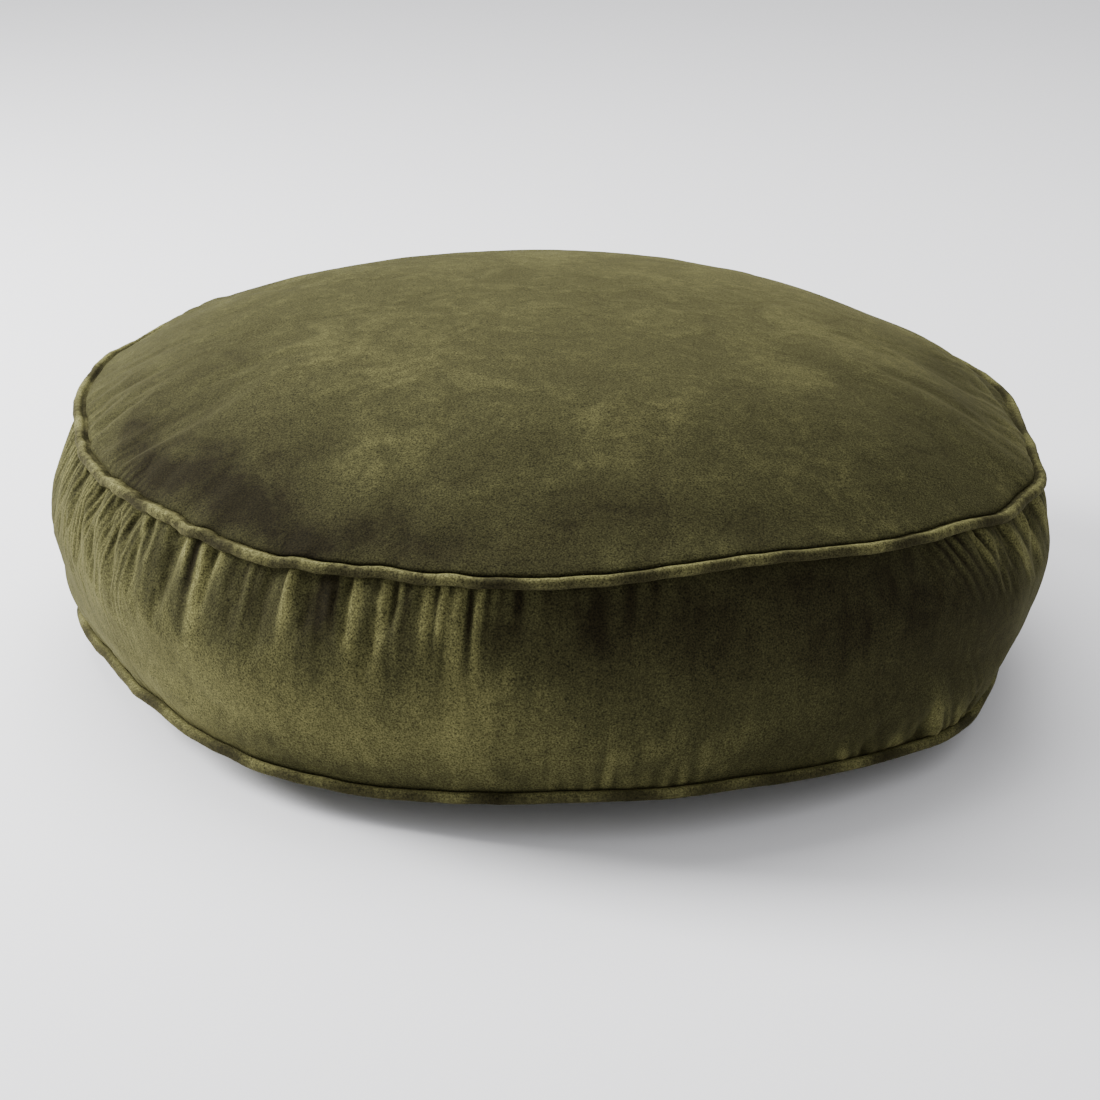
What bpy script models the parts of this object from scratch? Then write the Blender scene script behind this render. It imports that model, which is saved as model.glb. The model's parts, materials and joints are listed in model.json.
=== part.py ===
"""Round boxed floor cushion, in metres, +Z up.

The velvet cover is two round panels joined to an upright band by two welted seams. The rear
stretch of the band is two strips with a coil zip between them. Inside the cover lies a sewn
insert, filled with fibre. The origin is the middle of the flat patch that the cushion rests on,
the zip is centred on +Y, and the zip's slider is stored at its closed end.
"""

import math

import bpy
from mathutils import Matrix, Vector

# Outline of the cover
TOP_WELT_RADIUS = 0.305  # cushion's axis to the middle of the top welt
BAND_TAPER = 0.004  # how much further in the bottom welt is than the top one
TOP_SEAM_HEIGHT = 0.156  # floor to the middle of the top welt
BOTTOM_SEAM_HEIGHT = 0.024
CROWN_RISE = 0.068  # middle of the top panel over its own seam
BAND_SWELL = 0.0180  # how far the band stands out between its seams
UNDERSIDE_REACH = 0.0925  # flat patch of the underside to the band's lower corner
CROWN_FLATNESS = 2.8  # powers of the crown's curve: a flatter middle, a rounder shoulder
CROWN_SHOULDER = 0.74
BAND_SWELL_LIFT = 0.15  # puts the band's fullest place above its middle, upright at the zip
UNDERSIDE_CURVE = 1.8  # power of the curve from the flat patch up to the bottom seam

# Cloth and seams
VELVET = 0.0012
SEAM_ALLOWANCE = 0.012
WELT_CORD_DIAMETER = 0.0034
GAP = 0.0003  # between pieces that touch

# Zip
ZIP_LENGTH = 0.62  # along the band
ZIP_ROW = 3  # facet of the band that the zip lies on, counted from the top seam
ZIP_OPENING = 0.012  # between the edges of the two strips
TAPE_WIDTH = 0.014
TAPE = 0.0006
COIL_WIDTH = 0.0024  # one row
COIL = 0.0018
COIL_SPACING = 0.0016  # clear way between the rows, for the slider's bridge
STOP_LENGTH = 0.0022
BARE_TAPE = 0.0186  # past each stop, to the nearest facet

# Slider and its pull
SLIDER_LENGTH = 0.0115
SLIDER_WIDE_END = 0.0098
SLIDER_NARROW_END = 0.0090
SLIDER_PLATE = 0.0011
SLIDER_CLEARANCE = 0.0005  # to the rows and the tapes, whose arcs have flat facets
SLIDER_WALL = 0.0008
BRIDGE_WIDTH = 0.0010
BRIDGE_LENGTH = 0.0030
BAIL_WIDTH = 0.0014
BAIL_LENGTH = 0.0064
BAIL_BAR = 0.0009
PULL_LENGTH = 0.022
PULL_WIDTH = 0.0062
PULL_THICKNESS = 0.0011
PULL_WINDOW_WIDTH = 0.0024
PULL_WINDOW_LENGTH = 0.0042
PULL_BEVEL = 0.0003

# Insert
INSERT_CLOTH = 0.0006
INSERT_CLEARANCE = 0.0023  # behind the slider
INSERT_NECK = 0.004  # its two necks within the tips of the seam allowances
INSERT_SEAM_DROP = 0.004  # the insert's own seam below the zip
INSERT_FLAT_INSET = 0.025  # its flat base within the cushion's

# Facets
RING_STEPS = 48
BAND_FACETS = 8
ZIP_STEPS_PER_FACET = 2
CORD_SIDES = 8
WELT_SIDES = 8  # facets round the welt, between its two flanges

BOTTOM_WELT_RADIUS = TOP_WELT_RADIUS - BAND_TAPER
WELT_RADIUS = WELT_CORD_DIAMETER / 2 + GAP + VELVET
SEAM_FACE = GAP / 2 + VELVET + GAP  # seam's middle to the face of each panel's turned edge
TOP_CORNER = TOP_WELT_RADIUS - WELT_RADIUS - GAP
BOTTOM_CORNER = BOTTOM_WELT_RADIUS - WELT_RADIUS - GAP
BAND_TOP = TOP_SEAM_HEIGHT - SEAM_FACE
BAND_BOTTOM = BOTTOM_SEAM_HEIGHT + SEAM_FACE
FACET = 2 * math.pi / RING_STEPS
REST_RADIUS = BOTTOM_CORNER - UNDERSIDE_REACH


def band_curve(share):
    """Outer radius of the band at a share of the way down from its top seam."""
    straight = TOP_CORNER + (BOTTOM_CORNER - TOP_CORNER) * share
    lift = 1 + BAND_SWELL_LIFT * (1 - 2 * share)
    return straight + BAND_SWELL * 4 * share * (1 - share) * lift


def band_height(facet):
    """Height of the edge above one of the band's facets, counted from the top seam."""
    return BAND_TOP + (BAND_BOTTOM - BAND_TOP) * facet / BAND_FACETS


def band_radius(height):
    """Outer radius of the band's facets at a height between its two seams."""
    place = (BAND_TOP - height) / (BAND_TOP - BAND_BOTTOM) * BAND_FACETS
    above = min(max(math.floor(place), 0), BAND_FACETS - 1)
    radii = [band_curve(facet / BAND_FACETS) for facet in (above, above + 1)]
    return radii[0] + (radii[1] - radii[0]) * (place - above)


ZIP_HEIGHT = (band_height(ZIP_ROW) + band_height(ZIP_ROW + 1)) / 2
ZIP_RADIUS = band_radius(ZIP_HEIGHT)
TAPE_FACE = ZIP_RADIUS - VELVET - GAP
COIL_BACK = TAPE_FACE + GAP
COIL_FACE = COIL_BACK + COIL
SLIDER_INSIDE = TAPE_FACE - TAPE - SLIDER_CLEARANCE  # its back plate's near face
ZIP_FACETS = round(ZIP_LENGTH / (ZIP_RADIUS * FACET))
ZIP_ARC = ZIP_FACETS * FACET
ZIP_START = math.pi / 2 - ZIP_ARC / 2
ZIP_END = math.pi / 2 + ZIP_ARC / 2
END_GAP = GAP / ZIP_RADIUS  # the gap between end faces, as an angle
ZIP_FACET = FACET / ZIP_STEPS_PER_FACET
ROW_INSET = max(1, round((BARE_TAPE + STOP_LENGTH) / ZIP_RADIUS / ZIP_FACET)) * ZIP_FACET
ROW_START = ZIP_START + ROW_INSET
ROW_END = ZIP_END - ROW_INSET
SLIDER_ANGLE = ROW_START + (SLIDER_LENGTH / 2 + SLIDER_CLEARANCE) / ZIP_RADIUS
SLIDER_TOP = COIL_FACE + SLIDER_CLEARANCE + SLIDER_PLATE
PULL_AXIS = SLIDER_TOP + GAP + PULL_THICKNESS / 2
BAIL_RISE = PULL_AXIS + PULL_THICKNESS / 2 + GAP + BAIL_BAR
INSERT_RADIUS = SLIDER_INSIDE - SLIDER_PLATE - INSERT_CLEARANCE
INSERT_MIDDLE = ZIP_HEIGHT - INSERT_SEAM_DROP
INSERT_FLAT_RADIUS = REST_RADIUS - INSERT_FLAT_INSET


def clear_scene():
    """Remove everything that the scene holds."""
    for thing in list(bpy.data.objects):
        bpy.data.objects.remove(thing, do_unlink=True)


def new_collection(name):
    """Make a collection in the scene."""
    group = bpy.data.collections.new(name)
    bpy.context.scene.collection.children.link(group)
    return group


def finish(name, colour, roughness, metallic=0.0):
    """Make a Principled material."""
    material = bpy.data.materials.new(name)
    material.use_nodes = True
    shader = material.node_tree.nodes["Principled BSDF"]
    shader.inputs["Base Color"].default_value = (*colour, 1.0)
    shader.inputs["Roughness"].default_value = roughness
    shader.inputs["Metallic"].default_value = metallic
    return material


def place(thing, name, group, material):
    """Name an object, put it in its collection and give it its material."""
    thing.name = name
    thing.data.name = name
    for other in list(thing.users_collection):
        other.objects.unlink(thing)
    group.objects.link(thing)
    thing.data.materials.clear()
    if material:
        thing.data.materials.append(material)
    return thing


def turned(name, group, material, profile, cloth=0.0, side=-1.0, start=ZIP_START, sweep=2 * math.pi,
           steps=RING_STEPS):
    """Turn a profile of (radius, height) points round the cushion's axis.

    The profile runs down its outer side. Cloth is the wall's thickness, and side says on which
    side of the profile it lies: -1 inside, 0 both.
    """
    mesh = bpy.data.meshes.new(name)
    points = [(radius, 0.0, height) for radius, height in profile]
    mesh.from_pydata(points, [(i, i + 1) for i in range(len(points) - 1)], [])
    thing = bpy.data.objects.new(name, mesh)
    place(thing, name, group, material)
    thing.rotation_euler.z = start
    screw = thing.modifiers.new("Turn", "SCREW")
    screw.axis = "Z"
    screw.angle = sweep
    screw.steps = steps
    screw.render_steps = steps
    screw.use_merge_vertices = True
    screw.merge_threshold = 0.00001
    screw.use_smooth_shade = True
    if cloth:
        wall = thing.modifiers.new("Cloth", "SOLIDIFY")
        wall.thickness = cloth
        wall.offset = side
        wall.use_even_offset = True
    return thing


def block(name, group, material, low, high, wide_end=None, turn=0.0):
    """Make a box from its low and high corners, whose axes are outward, along the zip and up.

    With wide_end, the box tapers along the zip: that is its height at the low end, and the
    corners give its height at the high end. Turn is its angle about the cushion's axis.
    """
    centre = [(a + b) / 2 for a, b in zip(low, high)]
    bpy.ops.mesh.primitive_cube_add(size=1.0)
    thing = bpy.context.object
    sides = Matrix.Diagonal([b - a for a, b in zip(low, high)] + [1.0])
    thing.data.transform(Matrix.Translation(centre) @ sides)
    if wide_end:
        for vertex in thing.data.vertices:
            if vertex.co.y < centre[1]:
                vertex.co.z = centre[2] + math.copysign(wide_end / 2, vertex.co.z - centre[2])
    place(thing, name, group, material)
    thing.rotation_euler.z = turn
    return thing


def combine(thing, others, operation):
    """Join other solids to an object, or cut them out of it."""
    for other in others:
        other.hide_render = True
        other.display_type = "WIRE"
        change = thing.modifiers.new(other.name, "BOOLEAN")
        change.operation = operation
        change.solver = "EXACT"
        change.object = other


def crown_profile():
    """Top panel, from its middle down to the seam and in along the turned edge."""
    face = TOP_SEAM_HEIGHT + SEAM_FACE
    shares = (0.0, 0.3, 0.55, 0.75, 0.88, 0.96, 1.0)
    points = []
    for share in shares:
        rise = CROWN_RISE * (1 - share**CROWN_FLATNESS) ** CROWN_SHOULDER
        points.append((TOP_CORNER * share, face + rise))
    return points + [(TOP_CORNER - SEAM_ALLOWANCE, face)]


def underside_profile():
    """Bottom panel, from the turned edge out to the seam and down to its flat middle."""
    face = BOTTOM_SEAM_HEIGHT - SEAM_FACE
    points = [(BOTTOM_CORNER - SEAM_ALLOWANCE, face)]
    for share in (1.0, 0.75, 0.5, 0.25, 0.0):
        radius = REST_RADIUS + (BOTTOM_CORNER - REST_RADIUS) * share
        points.append((radius, face * share**UNDERSIDE_CURVE))
    return points + [(0.0, 0.0)]


def band_points(high, low, inset=0.0):
    """Points down the band between two heights, inset from its outer face."""
    edges = [band_height(facet) for facet in range(BAND_FACETS + 1)]
    heights = [high, *[edge for edge in edges if low + GAP < edge < high - GAP], low]
    return [(band_radius(height) - inset, height) for height in heights]


def band_profile(high, low):
    """Outer face of the band between two heights, with the turned edge at a seam it reaches."""
    points = band_points(high, low)
    if high == BAND_TOP:
        points.insert(0, (TOP_CORNER - SEAM_ALLOWANCE, BAND_TOP))
    if low == BAND_BOTTOM:
        points.append((BOTTOM_CORNER - SEAM_ALLOWANCE, BAND_BOTTOM))
    return points


def welt_profile(radius, height):
    """Middle of the welt's cloth: in from the upper flange, round the cord, out by the lower."""
    middle = WELT_RADIUS - VELVET / 2
    apart = (GAP + VELVET) / 2
    root = math.pi - math.asin(apart / middle)
    tip = radius - WELT_RADIUS - GAP - SEAM_ALLOWANCE
    points = [(tip, height + apart)]
    for i in range(WELT_SIDES + 1):
        angle = root - 2 * root * i / WELT_SIDES
        points.append((radius + middle * math.cos(angle), height + middle * math.sin(angle)))
    return points + [(tip, height - apart)]


def insert_side(seam, inset):
    """Outer side of one half of the insert, from the neck at a seam to the insert's own seam.

    It follows the band: furthest out behind the zip, and drawn in past the seam allowances.
    """
    neck = SEAM_ALLOWANCE + INSERT_NECK
    behind_zip = ZIP_RADIUS - INSERT_RADIUS
    start = min(max(seam, BAND_BOTTOM), BAND_TOP)
    upward = math.copysign(1, start - INSERT_MIDDLE)
    edges = [band_height(facet) for facet in range(BAND_FACETS + 1)]
    low, high = sorted((start, INSERT_MIDDLE))
    heights = [start, *[edge for edge in edges if low + GAP < edge < high - GAP], INSERT_MIDDLE]
    points = []
    for height in sorted(heights, key=lambda value: abs(value - start)):
        share = (height - INSERT_MIDDLE) / (start - INSERT_MIDDLE)
        radius = band_radius(height) - behind_zip - (neck - behind_zip) * share**2
        toward_seam = -inset * share if share else GAP
        points.append((radius - inset, height + upward * toward_seam))
    return points


def insert_top(inset):
    """Upper half of the insert, from its middle down to its own seam, inset by a distance."""
    top = TOP_SEAM_HEIGHT + SEAM_FACE + CROWN_RISE - VELVET - GAP - inset
    side = insert_side(TOP_SEAM_HEIGHT, inset)
    neck, height = side[0]
    points = []
    for share in (0.0, 0.3, 0.55, 0.75, 0.88, 0.96):
        bend = (1 - share**CROWN_FLATNESS) ** CROWN_SHOULDER
        points.append((neck * share, height + (top - height) * bend))
    return points + side


def insert_base(inset):
    """Lower half of the insert, from its own seam down to its flat middle."""
    base = VELVET + GAP + inset
    side = insert_side(BOTTOM_SEAM_HEIGHT, inset)
    neck, height = side[0]
    flat = INSERT_FLAT_RADIUS - inset
    points = []
    for share in (0.75, 0.5, 0.25, 0.0):
        lift = (height - base) * share**UNDERSIDE_CURVE
        points.append((flat + (neck - flat) * share, base + lift))
    return side[::-1] + points + [(0.0, base)]


def build_cover(group, velvet):
    """The two round panels and the long front stretch of the band."""
    turned("top_panel", group, velvet, crown_profile(), VELVET)
    turned("bottom_panel", group, velvet, underside_profile(), VELVET)
    turned("boxing_front", group, velvet, band_profile(BAND_TOP, BAND_BOTTOM), VELVET,
           start=ZIP_END + END_GAP, sweep=2 * math.pi - ZIP_ARC - 2 * END_GAP,
           steps=RING_STEPS - ZIP_FACETS)


def build_welt(group, name, radius, height, velvet, cotton):
    """One welt: a cord in a strip of velvet whose two edges run into the seam."""
    turned(name + "_welt_cover", group, velvet, welt_profile(radius, height), VELVET, side=0.0)
    bpy.ops.mesh.primitive_torus_add(
        major_radius=radius, minor_radius=WELT_CORD_DIAMETER / 2, major_segments=RING_STEPS,
        minor_segments=CORD_SIDES, location=(0.0, 0.0, height), rotation=(0.0, 0.0, ZIP_START))
    cord = place(bpy.context.object, name + "_welt_cord", group, cotton)
    cord.data.shade_smooth()


def along_zip(name, group, material, profile, thickness, start, end):
    """A strip that follows the zip's arc between two angles."""
    facets = max(1, round((end - start) / ZIP_FACET))
    return turned(name, group, material, profile, thickness, start=start, sweep=end - start,
                  steps=facets)


def build_zip(group, velvet, tape, coil, metal):
    """The zip's two velvet strips, its tapes, coil rows and stops."""
    upper_edge = ZIP_HEIGHT + ZIP_OPENING / 2
    lower_edge = ZIP_HEIGHT - ZIP_OPENING / 2
    first, last = ZIP_START + END_GAP, ZIP_END - END_GAP
    along_zip("boxing_zip_upper", group, velvet, band_profile(BAND_TOP, upper_edge), VELVET,
              first, last)
    along_zip("boxing_zip_lower", group, velvet, band_profile(lower_edge, BAND_BOTTOM), VELVET,
              first, last)
    near = COIL_SPACING / 2
    for name, sign in (("upper", 1), ("lower", -1)):
        edges = [ZIP_HEIGHT + sign * near, ZIP_HEIGHT + sign * (near + TAPE_WIDTH)]
        behind = band_points(max(edges), min(edges), VELVET + GAP)
        along_zip("zip_tape_" + name, group, tape, behind, TAPE, first, last)
        row = sorted([edges[0], ZIP_HEIGHT + sign * (near + COIL_WIDTH)], reverse=True)
        along_zip("zip_coil_" + name, group, coil, [(COIL_FACE, height) for height in row], COIL,
                  ROW_START, ROW_END)
        stop = ROW_START - END_GAP - STOP_LENGTH / ZIP_RADIUS
        block("zip_top_stop_" + name, group, metal, (COIL_BACK, 0.0, row[1]),
              (COIL_FACE, STOP_LENGTH, row[0]), turn=stop)
    half = near + COIL_WIDTH
    block("zip_bottom_stop", group, metal, (COIL_BACK, 0.0, ZIP_HEIGHT - half),
          (COIL_FACE, STOP_LENGTH, ZIP_HEIGHT + half), turn=ROW_END + END_GAP)


def build_slider(group, cutters, metal):
    """The slider: two plates, a bridge between them, side walls and the bail over the top."""
    half = SLIDER_LENGTH / 2
    wide, narrow = SLIDER_WIDE_END / 2, SLIDER_NARROW_END / 2
    under = SLIDER_INSIDE
    over = COIL_FACE + SLIDER_CLEARANCE
    lap = SLIDER_PLATE / 2
    z = ZIP_HEIGHT
    plate = block("zip_slider", group, metal, (over, -half, z - narrow),
                  (SLIDER_TOP, half, z + narrow), wide_end=2 * wide, turn=SLIDER_ANGLE)
    back = block("slider_back_plate", cutters, None, (under - SLIDER_PLATE, -half, z - narrow),
                 (under, half, z + narrow), wide_end=2 * wide, turn=SLIDER_ANGLE)
    bridge = block("slider_bridge", cutters, None, (under - lap, -half, z - BRIDGE_WIDTH / 2),
                   (over + lap, -half + BRIDGE_LENGTH, z + BRIDGE_WIDTH / 2), turn=SLIDER_ANGLE)
    walls = []
    for name, sign in (("upper", 1), ("lower", -1)):
        faces = sorted([z + sign * (narrow - SLIDER_WALL), z + sign * (narrow - GAP / 2)])
        walls.append(block("slider_wall_" + name, cutters, None,
                           (TAPE_FACE + SLIDER_CLEARANCE, -half + lap, faces[0]),
                           (over + lap, half - lap, faces[1]), turn=SLIDER_ANGLE))
    reach = BAIL_LENGTH / 2
    bail = block("slider_bail", cutters, None, (SLIDER_TOP - lap, -reach, z - BAIL_WIDTH / 2),
                 (BAIL_RISE, reach, z + BAIL_WIDTH / 2), turn=SLIDER_ANGLE)
    hollow = block("slider_bail_hollow", cutters, None,
                   (SLIDER_TOP, -reach + BAIL_BAR, z - BAIL_WIDTH),
                   (BAIL_RISE - BAIL_BAR, reach - BAIL_BAR, z + BAIL_WIDTH), turn=SLIDER_ANGLE)
    combine(plate, [back, bridge, *walls, bail], "UNION")
    combine(plate, [hollow], "DIFFERENCE")


def build_pull(group, cutters, metal):
    """The pull: a tab whose end bar runs under the bail. Its origin is on that bar's axis."""
    half = PULL_THICKNESS / 2
    tab = block("zip_pull_tab", group, metal, (-half, -half, -PULL_WIDTH / 2),
                (half, PULL_LENGTH, PULL_WIDTH / 2))
    window = block("pull_window", cutters, None, (-PULL_THICKNESS, half, -PULL_WINDOW_WIDTH / 2),
                   (PULL_THICKNESS, half + PULL_WINDOW_LENGTH, PULL_WINDOW_WIDTH / 2))
    place_at = Matrix.Rotation(SLIDER_ANGLE, 4, "Z") @ Vector((PULL_AXIS, 0.0, ZIP_HEIGHT))
    for thing in (tab, window):
        thing.location = place_at
        thing.rotation_euler.z = SLIDER_ANGLE
    edges = tab.modifiers.new("Edges", "BEVEL")
    edges.width = PULL_BEVEL
    edges.segments = 1
    combine(tab, [window], "DIFFERENCE")


def build_insert(group, cotton, fibre):
    """The insert: two shells of plain cloth that meet at its seam, and the filling."""
    turned("insert_cover_top", group, cotton, insert_top(0.0), INSERT_CLOTH)
    turned("insert_cover_bottom", group, cotton, insert_base(0.0), INSERT_CLOTH)
    inset = INSERT_CLOTH + GAP
    turned("fibre_fill", group, fibre, insert_top(inset) + insert_base(inset))


def main():
    """Build the cushion."""
    clear_scene()
    cushion = new_collection("floor_cushion")
    cutters = new_collection("cutters")
    velvet = finish("olive_velvet", (0.085, 0.082, 0.034), 0.85)
    piping = finish("olive_velvet_piping", (0.105, 0.100, 0.045), 0.85)
    cotton = finish("cotton_piping_cord", (0.78, 0.74, 0.65), 0.9)
    tape = finish("olive_polyester_tape", (0.060, 0.062, 0.030), 0.8)
    coil = finish("nylon_coil", (0.050, 0.050, 0.028), 0.4)
    metal = finish("antique_brass", (0.36, 0.27, 0.13), 0.35, 1.0)
    cloth = finish("white_insert_cloth", (0.80, 0.80, 0.78), 0.9)
    fibre = finish("polyester_fibre", (0.88, 0.88, 0.86), 0.95)
    build_cover(cushion, velvet)
    build_welt(cushion, "top", TOP_WELT_RADIUS, TOP_SEAM_HEIGHT, piping, cotton)
    build_welt(cushion, "bottom", BOTTOM_WELT_RADIUS, BOTTOM_SEAM_HEIGHT, piping, cotton)
    build_zip(cushion, velvet, tape, coil, metal)
    build_slider(cushion, cutters, metal)
    build_pull(cushion, cutters, metal)
    build_insert(cushion, cloth, fibre)


main()
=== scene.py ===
"""A round boxed floor cushion in olive cotton velvet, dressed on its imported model.

Lengths are in metres and azimuths in degrees, anticlockwise from +X as seen from above. The
cushion's axis is Z, it rests on z = 0, its front faces -Y and its zip faces +Y.
"""

import json
import logging
import math
from dataclasses import dataclass, field
from enum import Enum
from typing import Callable, Sequence

import bpy
import numpy as np
from mathutils import Matrix, Vector

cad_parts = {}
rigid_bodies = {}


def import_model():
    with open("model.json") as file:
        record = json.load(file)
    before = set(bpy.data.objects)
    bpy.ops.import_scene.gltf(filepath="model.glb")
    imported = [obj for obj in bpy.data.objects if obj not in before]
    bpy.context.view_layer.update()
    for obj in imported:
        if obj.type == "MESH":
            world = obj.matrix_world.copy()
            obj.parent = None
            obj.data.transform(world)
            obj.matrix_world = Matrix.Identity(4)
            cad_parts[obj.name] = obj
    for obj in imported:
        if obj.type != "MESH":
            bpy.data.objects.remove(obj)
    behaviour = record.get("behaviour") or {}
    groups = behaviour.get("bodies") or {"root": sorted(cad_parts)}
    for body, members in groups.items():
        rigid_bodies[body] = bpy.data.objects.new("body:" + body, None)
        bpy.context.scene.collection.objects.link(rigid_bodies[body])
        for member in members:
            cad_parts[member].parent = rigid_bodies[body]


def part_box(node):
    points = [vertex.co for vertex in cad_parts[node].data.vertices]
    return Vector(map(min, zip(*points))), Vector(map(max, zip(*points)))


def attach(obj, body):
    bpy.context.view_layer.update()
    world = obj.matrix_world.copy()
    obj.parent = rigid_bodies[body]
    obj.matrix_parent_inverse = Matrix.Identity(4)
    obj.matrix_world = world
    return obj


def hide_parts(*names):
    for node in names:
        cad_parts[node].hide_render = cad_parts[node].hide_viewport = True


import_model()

LOG = logging.getLogger("floor_cushion")
MM = 0.001
# Length of one band of the wave texture at a scale of 1.
WAVE_MM = 314.16
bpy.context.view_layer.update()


class Body(str, Enum):
    """The bodies that pieces ride on."""

    CUSHION = "cushion"
    SLIDER = "slider"
    PULL = "pull"


class Slot(str, Enum):
    """The record's material slots."""

    VELVET = "velvet"
    PIPING = "velvet_piping"
    CORD = "piping_cord"
    TAPE = "zip_tape"
    COIL = "zip_coil"
    METAL = "zip_metal"
    LINING = "insert_cloth"
    FIBRE = "fibre"


class Half(Enum):
    """One of a pair, and which way along Z it lies."""

    UPPER = 1
    LOWER = -1

    @property
    def word(self) -> str:
        """The half's word in the names of pieces and nodes."""
        return self.name.lower()


# ---------------- sums on arrays


def around(azimuth: np.ndarray, centre: float) -> np.ndarray:
    """Signed angle from a centre, from -180 to 180 degrees."""
    return (azimuth - centre + 180.0) % 360.0 - 180.0


def bell(distance: np.ndarray, spread: float) -> np.ndarray:
    """A smooth bump, 1 at no distance and nearly gone at twice the spread."""
    return np.exp(-((distance / spread) ** 2))


def ease(low: float, high: float, value: np.ndarray) -> np.ndarray:
    """A smooth step from 0 at low to 1 at high."""
    share = np.clip((value - low) / (high - low), 0.0, 1.0)
    return share * share * (3 - 2 * share)


def waves(azimuth: np.ndarray, seed: int, counts: Sequence[int]) -> np.ndarray:
    """A smooth, uneven, closed wave round the cushion, about 1 high.

    Args:
        azimuth: Azimuths in degrees.
        seed: Seed of the phases.
        counts: Whole numbers of waves round the cushion.

    Returns:
        The wave at each azimuth.
    """
    draw = np.random.default_rng(seed)
    total = np.zeros_like(azimuth, dtype=float)
    for count in counts:
        total += np.sin(np.radians(azimuth) * count + draw.uniform(0.0, 2 * np.pi))
    return total / math.sqrt(len(counts))


def polar(azimuth: np.ndarray, radius: np.ndarray, height: np.ndarray) -> np.ndarray:
    """Points from azimuth, radius and height.

    Args:
        azimuth: Azimuths in degrees.
        radius: Distances from the axis.
        height: Heights.

    Returns:
        The points.
    """
    turn = np.radians(azimuth)
    flat = np.broadcast_arrays(radius * np.cos(turn), radius * np.sin(turn), height)
    return np.stack(flat, axis=-1)


def azimuth_of(points: np.ndarray) -> np.ndarray:
    """Azimuth of each point, from 0 to 360."""
    return np.degrees(np.arctan2(points[..., 1], points[..., 0])) % 360.0


def radius_of(points: np.ndarray) -> np.ndarray:
    """Distance of each point from the cushion's axis."""
    return np.hypot(points[..., 0], points[..., 1])


def finer(points: np.ndarray, times: int, closed: bool) -> np.ndarray:
    """Points added between the rows of an array, on the smooth curve through them.

    Args:
        points: Rows of points along the first axis.
        times: Steps made of each one.
        closed: Whether the last row is followed by the first.

    Returns:
        The finer array.
    """
    if closed:
        shifts = (1, 0, -1, -2)
        before, start, end, after = (np.roll(points, shift, axis=0) for shift in shifts)
    else:
        first = 2 * points[:1] - points[1:2]
        last = 2 * points[-1:] - points[-2:-1]
        held = np.concatenate([first, points, last])
        before, start, end, after = held[:-3], held[1:-2], held[2:-1], held[3:]
    steps = []
    for step in range(times):
        t = step / times
        steps.append(start + 0.5 * t * (end - before + t * (
            2 * before - 5 * start + 4 * end - after + t * (3 * (start - end) + after - before))))
    fine = np.stack(steps, axis=1).reshape(-1, *points.shape[1:])
    return fine if closed else np.concatenate([fine, points[-1:]])


def outward(grid: np.ndarray) -> np.ndarray:
    """Unit normals of a grid of points whose rows run down and whose columns run anticlockwise.

    Args:
        grid: The grid's points.

    Returns:
        The normals.
    """
    down = np.gradient(grid, axis=0)
    along = np.gradient(grid, axis=1)
    normal = np.cross(down, along)
    return normal / np.maximum(np.linalg.norm(normal, axis=-1, keepdims=True), 1e-12)


# ---------------- meshes


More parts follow.
